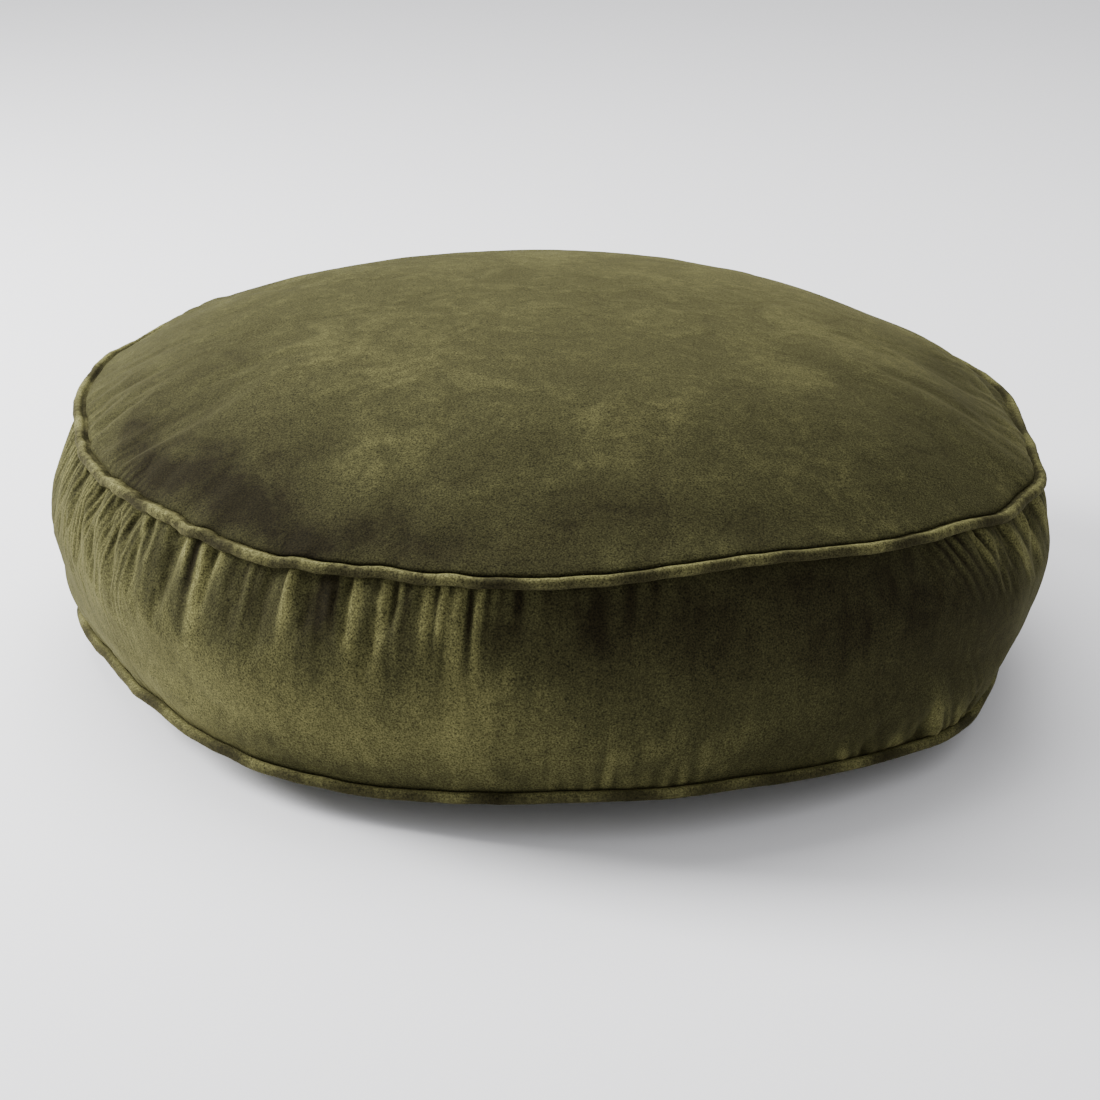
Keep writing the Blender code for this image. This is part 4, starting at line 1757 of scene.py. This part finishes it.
@dataclass(frozen=True)
class Welt:
    """A welted seam: a twisted cord in a bias strip of velvet, whose flanges run into the seam."""

    name: str
    seam: SeamRing
    columns: int = 1440
    radius: float = 3.2 * MM
    velvet: float = 1.2 * MM
    gap: float = 0.3 * MM
    flange: float = 15 * MM
    cord: float = 1.68 * MM
    strands: int = 3
    lay: float = 11 * MM
    pucker: float = 0.22 * MM
    gathers: float = 1.0

    def _section(self) -> tuple[np.ndarray, np.ndarray]:
        """The strip's closed section, as points out and up, and how free each is to pucker.

        Returns:
            The points, and the freedom of each.
        """
        face, inside = self.gap / 2 + self.velvet, self.gap / 2
        hollow = self.radius - self.velvet
        root = math.pi - math.asin(face / self.radius)
        bend = math.pi - math.asin(inside / hollow)
        outer = [(self.radius * math.cos(t), self.radius * math.sin(t))
                 for t in np.linspace(root, -root, 17)]
        inner = [(hollow * math.cos(t), hollow * math.sin(t))
                 for t in np.linspace(-bend, bend, 9)]
        section = [(-self.flange, face), *outer, (-self.flange, -face), (-self.flange, -inside),
                   *inner, (-self.flange, inside)]
        free = [0.0, *([1.0] * len(outer)), *([0.0] * (len(inner) + 3))]
        return np.array(section), np.array(free)

    def _sweep(self, section: np.ndarray, name: str) -> bpy.types.Object:
        """Sweep a section, which may change on its way, round the seam.

        Args:
            section: The section's points.
            name: The piece's name.

        Returns:
            The piece.
        """
        azimuth = np.arange(self.columns) * 360.0 / self.columns
        radius, height = self.seam.line(azimuth)
        points = polar(azimuth[:, None], radius[:, None] + section[..., 0],
                       height[:, None] + section[..., 1])
        maker = MeshMaker()
        numbers = maker.add(points)
        maker.grid(np.concatenate([numbers, numbers[:1]]), closed=True)
        return maker.build(name)

    def cover(self) -> bpy.types.Object:
        """The bias strip round the cord.

        Returns:
            The strip.
        """
        section, free = self._section()
        azimuth = np.arange(self.columns)[:, None] * 360.0 / self.columns
        turn = np.arctan2(section[:, 1], section[:, 0])[None, :]
        near = np.maximum(bell(around(azimuth, 220.0), 40.0), bell(around(azimuth, 332.0), 16.0))
        gathered = 0.2 + 0.8 * self.gathers * near
        bias = np.sin(np.radians(azimuth) * 137 + turn * 2 + 2 * waves(azimuth, 51, (5, 9, 17)))
        fine = waves(azimuth + 4 * turn, 53, (97, 151, 211, 263))
        slow = waves(azimuth, 55, (23, 31, 47))
        swell = self.pucker * (gathered * (0.35 * bias + 0.6 * fine) + 0.45 * slow)
        thick = np.ones((self.columns, len(section), 1))
        thick[..., 0] += free * swell / self.radius
        strip = self._sweep(section[None] * thick, self.name + "_welt_piping")
        points = coordinates(strip)
        radius, height = self.seam.line(azimuth_of(points))
        # Painted light and shade: a painted highlight on the top of the piping and painted shade
        # below it, with a small random change of tone, and painted highlights on the pucker swells.
        note(strip, "nap", np.clip((points[:, 2] - height) / self.radius, -1.0, 1.0) ** 3 * 0.7
             + 0.08 * waves(azimuth_of(points), 57, (11, 19, 29)))
        note(strip, "fold", np.clip(np.repeat(swell.mean(1) / self.pucker, len(section)), -1, 1))
        return declare(strip, Body.CUSHION, Slot.PIPING, PIPING, self.name + "_welt_cover")

    def filler(self) -> bpy.types.Object:
        """The twisted cord.

        Returns:
            The cord.
        """
        azimuth = np.arange(self.columns)[:, None] * 2 * np.pi / self.columns
        turn = np.linspace(0, 2 * np.pi, 12, endpoint=False)[None, :]
        twists = round(2 * math.pi * self.seam.radius / self.lay)
        strand = np.abs(np.cos(self.strands / 2 * (turn - azimuth * twists)))
        radius = self.cord * (0.84 + 0.16 * strand)
        section = np.stack([radius * np.cos(turn), radius * np.sin(turn)], axis=-1)
        cord = self._sweep(section, self.name + "_welt_filler_cord")
        return declare(cord, Body.CUSHION, Slot.CORD, FILLER, self.name + "_welt_cord")


# ---------------- zip


@dataclass(frozen=True)
class Zip:
    """A coil zip on woven tapes, sewn behind the strips' folded edges."""

    sizes: Sizes
    radius: float = 317.504 * MM
    cloth: float = 1.5 * MM
    tape: float = 0.55 * MM
    near: float = 0.62 * MM
    row_width: float = 2.5 * MM
    coil_depth: float = 1.75 * MM
    coil_lift: float = 0.3 * MM
    filament: float = 0.34 * MM
    pitch: float = 1.25 * MM
    turn_steps: int = 10
    row_start: float = 37.5
    row_end: float = 142.5
    stop_length: float = 2.2 * MM
    stop_gap: float = 0.3 * MM
    top_stop_height: float = 2.4 * MM
    top_stop_up: float = 2.0 * MM
    bottom_stop_height: float = 6.4 * MM

    @property
    def tape_face(self) -> float:
        """Radius of the tapes' outer face."""
        return self.radius - self.cloth

    def tape_strip(self, half: Half) -> bpy.types.Object:
        """One woven tape, with the thicker edge that the coil is sewn to.

        Args:
            half: Which one.

        Returns:
            The tape.
        """
        azimuth = np.linspace(self.sizes.zip_start + 0.1, self.sizes.zip_end - 0.1, 451)
        across = np.array([0.8, 1.4, 2.6, 3.4, 3.9, 4.6, 6.5, 9.0, 11.5, 13.4, 14.2, 14.8]) * MM
        ridge = np.array([0, 0, 0, 0, 1.2, 0, 0, 0, 0, 0, 1.0, 0]) * 0.12 * MM
        height = self.sizes.zip_height + half.value * across[:, None]
        slope = np.clip((across - 8 * MM) / (7 * MM), 0, 1)[:, None] * -0.5 * MM
        points = polar(azimuth[None], self.tape_face + ridge[:, None] + slope, height)
        maker = MeshMaker()
        maker.grid(maker.add(points))
        strip = maker.build("zip_tape_" + half.word + "_woven")
        face_outwards(strip, 0)
        flat = coordinates(strip)
        lay_uv(strip, np.radians(azimuth_of(flat)) * self.radius, flat[:, 2])
        wall(strip, self.tape)
        return declare(strip, Body.CUSHION, Slot.TAPE, TAPE, "zip_tape_" + half.word)

    def coil_row(self, half: Half) -> bpy.types.Object:
        """One row of teeth: a flattened spiral of monofilament with wider heads.

        Args:
            half: Which one.

        Returns:
            The row.
        """
        arc = math.radians(self.row_end - self.row_start) * self.radius
        steps = int(arc / self.pitch) * self.turn_steps
        start = 0 if half is Half.UPPER else np.pi
        turn = np.arange(steps + 1) / self.turn_steps * 2 * np.pi + start
        azimuth = self.row_start + (self.row_end - self.row_start) * np.arange(steps + 1) / steps
        half_width = self.row_width / 2 - self.filament
        half_depth = self.coil_depth / 2 - self.filament
        middle = self.near + self.row_width / 2
        up = half.value * (middle - half_width * np.cos(turn))
        out = self.tape_face + self.coil_lift + self.coil_depth / 2 + half_depth * np.sin(turn)
        path = polar(azimuth, out, self.sizes.zip_height + up)
        forward = np.gradient(path, axis=0)
        forward /= np.linalg.norm(forward, axis=1, keepdims=True)
        first = np.cross(forward, polar(azimuth + 90, np.ones(steps + 1), np.zeros(steps + 1)))
        first /= np.linalg.norm(first, axis=1, keepdims=True)
        second = np.cross(forward, first)
        head = 1 + 0.35 * bell((1 - np.cos(turn)), 0.45)
        corners = np.linspace(0, 2 * np.pi, 5, endpoint=False)
        ring = (first[:, None] * np.cos(corners)[:, None]
                + second[:, None] * np.sin(corners)[:, None])
        points = path[:, None] + ring * (self.filament * head)[:, None, None]
        maker = MeshMaker()
        numbers = maker.add(points)
        maker.grid(numbers, closed=True)
        maker.faces += [tuple(numbers[0][::-1]), tuple(numbers[-1])]
        row = maker.build("zip_coil_" + half.word + "_teeth")
        return declare(row, Body.CUSHION, Slot.COIL, COIL, "zip_coil_" + half.word)

    def stops(self) -> list[bpy.types.Object]:
        """The two top stops beside the rows' start and the one bottom stop past their end.

        Returns:
            The three stops.
        """
        made = []
        depth = self.coil_depth
        out = self.tape_face + self.coil_lift + depth / 2
        gap = math.degrees(self.stop_gap / self.radius)
        half = math.degrees(self.stop_length / 2 / self.radius)
        for which in Half:
            size = (depth, self.stop_length, self.top_stop_height)
            made.append(self._clip("zip_top_stop_" + which.word, size,
                                   self.row_start - half - gap, out,
                                   which.value * self.top_stop_up))
        size = (depth, self.stop_length, self.bottom_stop_height)
        made.append(self._clip("zip_bottom_stop", size, self.row_end + half + gap, out, 0.0))
        return made

    def _clip(self, node: str, size: tuple[float, float, float], azimuth: float, radius: float,
              up: float) -> bpy.types.Object:
        """A pressed metal clip with rounded edges and a crimped waist.

        Args:
            node: The node that it stands for.
            size: Its size outward, along the zip and up.
            azimuth: Azimuth of its middle.
            radius: Radius of its middle.
            up: Its middle's height over the zip's line.

        Returns:
            The clip.
        """
        clip = block(node + "_clip", size)
        subdivide(clip, 3)
        points = coordinates(clip)
        waist = 1 - 0.22 * bell(points[:, 2] / size[2], 0.22)
        points[:, 1] *= waist
        points[:, 0] *= 1 - 0.12 * bell(points[:, 2] / size[2], 0.16)
        set_coordinates(clip, points)
        apply(clip, "BEVEL", width=0.25 * MM, segments=3, limit_method="ANGLE",
              angle_limit=math.radians(50))
        clip.data.shade_smooth()
        place = coordinates(clip)
        set_coordinates(clip, along_zip(place, azimuth, radius, self.sizes.zip_height + up))
        return declare(clip, Body.CUSHION, Slot.METAL, BRASS, node)


def block(name: str, size: tuple[float, float, float],
          at: tuple[float, float, float] = (0.0, 0.0, 0.0)) -> bpy.types.Object:
    """A box of a size, outward, along the zip and up, with its middle at a place.

    Args:
        name: The box's name.
        size: Its three sizes.
        at: Its middle.

    Returns:
        The box.
    """
    bpy.ops.object.select_all(action="DESELECT")
    bpy.ops.mesh.primitive_cube_add(size=1.0, location=at)
    made = bpy.context.object
    made.scale = size
    bpy.ops.object.transform_apply(location=True, rotation=True, scale=True)
    made.name = name
    made.data.name = name
    return made


def fuse(main: bpy.types.Object, other: bpy.types.Object, operation: str) -> None:
    """Join a solid to another or cut it out, and remove it."""
    apply(main, "BOOLEAN", operation=operation, solver="EXACT", object=other)
    bpy.data.objects.remove(other, do_unlink=True)


@dataclass(frozen=True)
class Slider:
    """The zip's slider: two shaped plates joined by a bridge, side guides and a bail."""

    zip: Zip
    azimuth: float = 38.628
    length: float = 11.5 * MM
    wide: float = 9.8 * MM
    narrow: float = 8.6 * MM
    plate: float = 1.1 * MM
    clearance: float = 0.5 * MM
    bridge: float = 1.0 * MM
    bail_length: float = 6.4 * MM
    bail_bar: float = 0.9 * MM
    bail_width: float = 1.4 * MM
    pull_play: float = 1.7 * MM
    row_room: float = 1.8 * MM
    tape_room: float = 0.6 * MM
    edge: float = 0.22 * MM
    bridge_length: float = 3.0 * MM
    bridge_inset: float = 1.9 * MM
    guide_width: float = 0.75 * MM
    guide_inset: float = 0.45 * MM
    hollow_over: float = 0.3 * MM

    @property
    def over(self) -> float:
        """Radius of the top plate's under face."""
        return self.zip.tape_face + self.zip.coil_lift + self.row_room + self.clearance

    @property
    def under(self) -> float:
        """Radius of the back plate's near face."""
        return self.zip.tape_face - self.tape_room - self.clearance

    def _plate(self, name: str, radius: float, domed: float) -> bpy.types.Object:
        """One plate: wide at its mouth with two rounded shoulders, narrow at its tail.

        Args:
            name: The plate's name.
            radius: Radius of its middle.
            domed: 1 if it domes outwards, or -1 if inwards.

        Returns:
            The plate.
        """
        plate = block(name, (self.plate, self.length, self.narrow))
        subdivide(plate, 7)
        points = coordinates(plate)
        share = points[:, 1] / self.length + 0.5
        widen = 1 + (self.wide / self.narrow - 1) * (1 - ease(0.2, 0.7, share))
        taper = 1 - 0.20 * ease(0.75, 1.0, share)
        across = points[:, 2] / (self.narrow / 2)
        points[:, 2] *= widen * taper
        mouth = 1 - ease(0.0, 0.35, share)
        points[:, 1] += mouth * (np.abs(across) - 0.35) ** 2 * -0.9 * MM + mouth * 0.35 * MM
        rise = (1 - across**2) * (1 - ((share - 0.5) * 2) ** 4)
        outer = points[:, 0] * domed > 0
        points[:, 0] += np.where(outer, domed * rise * 0.28 * MM, 0.0)
        points[:, 0] += radius
        set_coordinates(plate, points)
        apply(plate, "BEVEL", width=self.edge, segments=2, limit_method="ANGLE",
              angle_limit=math.radians(40))
        return plate

    def build(self) -> bpy.types.Object:
        """Build the slider in place.

        Returns:
            The slider.
        """
        top = self._plate("zip_slider_body", self.over + self.plate / 2, 1.0)
        back = self._plate("slider_back", self.under - self.plate / 2, -1.0)
        lap = self.plate / 2
        middle = (self.over + self.under) / 2
        post = block("slider_bridge",
                     (self.over - self.under + 2 * lap, self.bridge_length, self.bridge),
                     (middle, -self.length / 2 + self.bridge_inset, 0.0))
        fuse(top, back, "UNION")
        fuse(top, post, "UNION")
        guide_from = self.zip.tape_face + self.clearance
        for side in (1, -1):
            guide = block("slider_guide",
                          (self.over - guide_from + lap, self.length * 0.8, self.guide_width),
                          ((self.over + lap + guide_from) / 2, 0.0,
                           side * (self.narrow / 2 - self.guide_inset)))
            fuse(top, guide, "UNION")
        face = self.over + self.plate
        rise = self.pull_play + self.bail_bar
        bail = block("slider_bail", (rise + lap, self.bail_length, self.bail_width),
                     (face - lap + (rise + lap) / 2, 0.0, 0.0))
        apply(bail, "BEVEL", width=0.5 * MM, segments=3, limit_method="ANGLE")
        depth = self.pull_play + self.hollow_over
        hollow = block("bail_hollow",
                       (depth, self.bail_length - 2 * self.bail_bar, self.bail_width * 2),
                       (face + self.pull_play - depth / 2, 0.0, 0.0))
        apply(hollow, "BEVEL", width=0.25 * MM, segments=2, limit_method="ANGLE")
        fuse(bail, hollow, "DIFFERENCE")
        fuse(top, bail, "UNION")
        shade(top)
        points = coordinates(top)
        set_coordinates(top, along_zip(points, self.azimuth, 0.0, self.zip.sizes.zip_height))
        return declare(top, Body.SLIDER, Slot.METAL, BRASS, "zip_slider")


def shade(thing: bpy.types.Object) -> None:
    """Shade a metal part smooth, but for its sharp edges."""
    only(thing)
    bpy.ops.object.shade_smooth_by_angle(angle=math.radians(35))


@dataclass(frozen=True)
class PullTab:
    """The slider's pull: a flat tab with rounded ends, whose end bar runs under the bail."""

    slider: Slider
    length: float = 22 * MM
    width: float = 6.2 * MM
    thickness: float = 1.1 * MM
    window_width: float = 2.4 * MM
    window_length: float = 4.2 * MM
    axis: float = 320.554 * MM
    edge: float = 0.22 * MM

    def build(self) -> bpy.types.Object:
        """Build the pull in place.

        Returns:
            The pull.
        """
        half = self.thickness / 2
        tab = block("zip_pull_tab_cast", (self.thickness, self.length + half, self.width),
                    (0.0, (self.length - half) / 2, 0.0))
        subdivide(tab, 11)
        points = coordinates(tab)
        share = np.clip((points[:, 1] + half) / (self.length + half), 0, 1)
        end = ease(0.72, 1.0, share)
        neck = 1 - 0.22 * bell(share - 0.42, 0.16)
        near = 1 - 0.10 * (1 - ease(0.0, 0.06, share))
        points[:, 2] *= neck * near * np.sqrt(np.clip(1 - 0.82 * end**2.2, 0.0, 1.0))
        points[:, 0] *= 1 - 0.25 * bell(share - 0.75, 0.11) * (
            np.abs(points[:, 2]) < self.width * 0.3)
        set_coordinates(tab, points)
        apply(tab, "BEVEL", width=self.edge, segments=2, limit_method="ANGLE",
              angle_limit=math.radians(50))
        window = block("pull_window", (4 * self.thickness, self.window_length,
                                       self.window_width),
                       (0.0, half + self.window_length / 2, 0.0))
        apply(window, "BEVEL", width=0.5 * MM, segments=3, limit_method="ANGLE")
        fuse(tab, window, "DIFFERENCE")
        shade(tab)
        points = coordinates(tab)
        set_coordinates(tab, along_zip(points, self.slider.azimuth, self.axis,
                                       self.slider.zip.sizes.zip_height))
        return declare(tab, Body.PULL, Slot.METAL, BRASS, "zip_pull_tab")


# ---------------- insert


@dataclass(frozen=True)
class Insert:
    """The inner cushion: two shells of calico that meet at a seam, filled with fibre."""

    sizes: Sizes
    columns: int = 192
    inset: float = 6.5 * MM
    calico: float = 0.6 * MM
    seam_drop: float = 4 * MM
    gap: float = 0.35 * MM

    def _rows(self, outline: Outline, half: Half, inset: float) -> list[np.ndarray]:
        """Rows of points of one half, from its seam to the ring round its middle.

        Args:
            outline: The cover's outline.
            half: Which half.
            inset: How far it lies inside the outline.

        Returns:
            The rows.
        """
        azimuth = np.arange(self.columns) * 360.0 / self.columns
        ones = np.ones_like(azimuth)
        middle = self.sizes.zip_height - self.seam_drop
        upper, side = half is Half.UPPER, half.value
        end = outline.band_at(azimuth, (0.06 if upper else 0.94) * ones)[:, 2]
        top = outline.top.line(azimuth, 0.0)[1]
        low = outline.bottom.line(azimuth, 0.0)[1]
        rows = []
        for share in np.linspace(0.0, 1.0, 9):
            z = middle + side * self.gap + (end - middle) * share
            across = (top - z) / (top - low)
            radius = radius_of(outline.band_at(azimuth, np.clip(across, 0.02, 0.98)))
            draw_in = inset + 11 * MM * share**2.2
            rows.append(polar(azimuth, radius - draw_in, z))
        at = outline.crown_at if upper else outline.underside_at
        last = rows[-1]
        for share in (0.93, 0.88, 0.8, 0.7, 0.58, 0.44, 0.3):
            surface = at(azimuth, share * ones)
            target = surface[:, 2] - side * (inset - 3.5 * MM)
            mix = float(ease(0.80, 0.93, np.asarray(share)))
            z = target * (1 - mix) + (last[:, 2] * 0.5 + target * 0.5) * mix
            z = z + 0.5 * MM * side * waves(azimuth, 71, (17, 23)) * share**4
            rows.append(polar(azimuth, radius_of(surface) - inset * share, z))
        return rows

    def _close(self, maker: MeshMaker, rows: list[np.ndarray], first: np.ndarray | None
               ) -> np.ndarray:
        """Add a half's rows and its middle, and return the seam's numbers.

        Args:
            maker: Gathers the points.
            rows: The half's rows.
            first: Numbers of the other half's seam, or nothing.

        Returns:
            Numbers of the seam's points.
        """
        numbers = [maker.add(row) for row in rows]
        if first is not None:
            maker.join(first, numbers[0])
        for outer, inner in zip(numbers, numbers[1:]):
            maker.join(outer, inner)
        height = rows[-1][:, 2].mean()
        radius = radius_of(rows[-1]).mean()
        lift = 3 * MM if height > self.sizes.zip_height else 0.0

        def at(azimuth: np.ndarray, share: np.ndarray) -> np.ndarray:
            """The flat middle of a half."""
            return polar(azimuth, radius * share, height + lift * (1 - share**2))

        maker.disc(numbers[-1], at, 1.0)
        return numbers[0]

    def shell(self, outline: Outline, half: Half) -> bpy.types.Object:
        """One calico shell.

        Args:
            outline: The cover's outline.
            half: Which one.

        Returns:
            The shell.
        """
        maker = MeshMaker()
        self._close(maker, self._rows(outline, half, self.inset), None)
        word = "top" if half is Half.UPPER else "bottom"
        piece = maker.build("insert_calico_" + word)
        face_along(piece, half)
        flat = coordinates(piece)
        lay_uv(piece, flat[:, 0], flat[:, 1])
        wall(piece, self.calico)
        return declare(piece, Body.CUSHION, Slot.LINING, LINING, "insert_cover_" + word)

    def filling(self, outline: Outline) -> bpy.types.Object:
        """The fibre filling.

        Args:
            outline: The cover's outline.

        Returns:
            The filling.
        """
        maker = MeshMaker()
        inset = self.inset + self.calico + self.gap
        seam = self._close(maker, self._rows(outline, Half.UPPER, inset), None)
        self._close(maker, self._rows(outline, Half.LOWER, inset), seam)
        piece = maker.build("fibre_filling")
        points, out = coordinates(piece), normals(piece)
        turn, radius = np.radians(azimuth_of(points)), radius_of(points)
        lumps = np.sin(turn * 9 + radius * 60) * np.sin(points[:, 2] * 90 + radius * 45)
        set_coordinates(piece, points - out * (0.8 * MM * (0.5 + 0.5 * lumps))[:, None])
        return declare(piece, Body.CUSHION, Slot.FIBRE, FIBRE, "fibre_fill")


# ---------------- studio


@dataclass(frozen=True)
class SoftBox:
    """A rectangular soft light: where it stands, where it points, its size and its power."""

    name: str
    at: tuple[float, float, float]
    towards: tuple[float, float, float]
    size: tuple[float, float]
    watts: float
    colour: str = "#ffffff"


@dataclass(frozen=True)
class Studio:
    """A pale paper floor, soft light from the left and behind, and the camera."""

    aim: tuple[float, float, float] = (0.0, 0.0, 0.059)
    elevation: float = 21.2
    distance: float = 1.703
    lens: float = 85.0
    roll: float = 1.6
    surround: str = "#e9e9eb"
    surround_strength: float = 1.02
    floor_side: float = 80.0
    boxes: tuple[SoftBox, ...] = (
        SoftBox("key", (-1.9, 0.25, 1.15), (0.0, 0.0, 0.08), (0.9, 0.9), 124.0),
        SoftBox("overhead", (-0.3, 0.7, 2.3), (0.0, 0.0, 0.1), (2.4, 1.6), 64.0),
    )

    def build(self) -> None:
        """Make the floor, the lights and the camera."""
        self._floor()
        for box in self.boxes:
            self._light(box)
        self._surround()
        self._camera()

    def _floor(self) -> None:
        """The paper that the cushion stands on."""
        bpy.ops.object.select_all(action="DESELECT")
        bpy.ops.mesh.primitive_plane_add(size=self.floor_side)
        floor = bpy.context.object
        floor.name = "studio_floor"
        floor.data.materials.append(PAPER.material())

    def _light(self, box: SoftBox) -> None:
        """One soft light.

        Args:
            box: The light's place, size and power.
        """
        lamp = bpy.data.lights.new(box.name, "AREA")
        lamp.shape = "RECTANGLE"
        lamp.size, lamp.size_y = box.size
        lamp.energy = box.watts
        lamp.color = linear(box.colour)[:3]
        thing = bpy.data.objects.new(box.name, lamp)
        thing.location = box.at
        thing.rotation_mode = "QUATERNION"
        way = Vector(box.towards) - Vector(box.at)
        thing.rotation_quaternion = way.to_track_quat("-Z", "Y")
        bpy.context.scene.collection.objects.link(thing)

    def _surround(self) -> None:
        """Even light from the room."""
        world = bpy.data.worlds.new("studio_surround")
        world.use_nodes = True
        light = world.node_tree.nodes["Background"]
        light.inputs["Color"].default_value = linear(self.surround)
        light.inputs["Strength"].default_value = self.surround_strength
        bpy.context.scene.world = world

    def _camera(self) -> None:
        """A long lens, level with a low stool."""
        lens = bpy.data.cameras.new("studio_camera")
        lens.lens = self.lens
        camera = bpy.data.objects.new("studio_camera", lens)
        up = math.radians(self.elevation)
        back = Vector((0.0, -math.cos(up), math.sin(up)))
        camera.location = Vector(self.aim) + back * self.distance
        camera.rotation_mode = "QUATERNION"
        level = (-back).to_track_quat("-Z", "Y").to_matrix()
        tilt = Matrix.Rotation(math.radians(self.roll), 3, "Z")
        camera.rotation_quaternion = (level @ tilt).to_quaternion()
        bpy.context.scene.collection.objects.link(camera)
        bpy.context.scene.camera = camera


# ---------------- the cushion


def main() -> None:
    """Build the cushion's pieces in order, and the studio."""
    logging.basicConfig(level=logging.INFO, format="%(message)s")
    sizes = Sizes()
    top = SeamRing(sizes.top_radius, sizes.middle("top_welt_cover"), TOP_KINKS, 11)
    bottom = SeamRing(sizes.bottom_radius, sizes.middle("bottom_welt_cover"), BOTTOM_KINKS, 23,
                      unevenness=0.35)
    outline = Outline(sizes, top, bottom)
    cover = FilledCover(outline)
    full = cover.fill()
    Panel("top_panel_velvet", "top_panel", cover, cover.crown_from, cover.underside_from,
          Half.UPPER, top, CROWN_TUCKS, LONG_FOLDS, CROWN_NAP_AND_PAINTED_LIGHT, fill=0.7).build(full)
    Panel("underside_velvet", "bottom_panel", cover, cover.underside_from,
          len(cover.maker.faces), Half.LOWER, bottom, UNDERSIDE_TUCKS, (), (),
          fill=0.6).build(full)
    band = Band(cover)
    band.front()
    for half in Half:
        band.strip(half)
        band.topstitch(half)
    for welt in (Welt("top", top), Welt("bottom", bottom, pucker=0.1 * MM, gathers=0.2)):
        welt.cover()
        welt.filler()
    fastener = Zip(sizes)
    for half in Half:
        fastener.tape_strip(half)
        fastener.coil_row(half)
    fastener.stops()
    slider = Slider(fastener)
    slider.build()
    PullTab(slider).build()
    insert = Insert(sizes)
    for half in Half:
        insert.shell(outline, half)
    insert.filling(outline)
    Studio().build()
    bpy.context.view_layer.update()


if __name__ == "__main__":
    main()
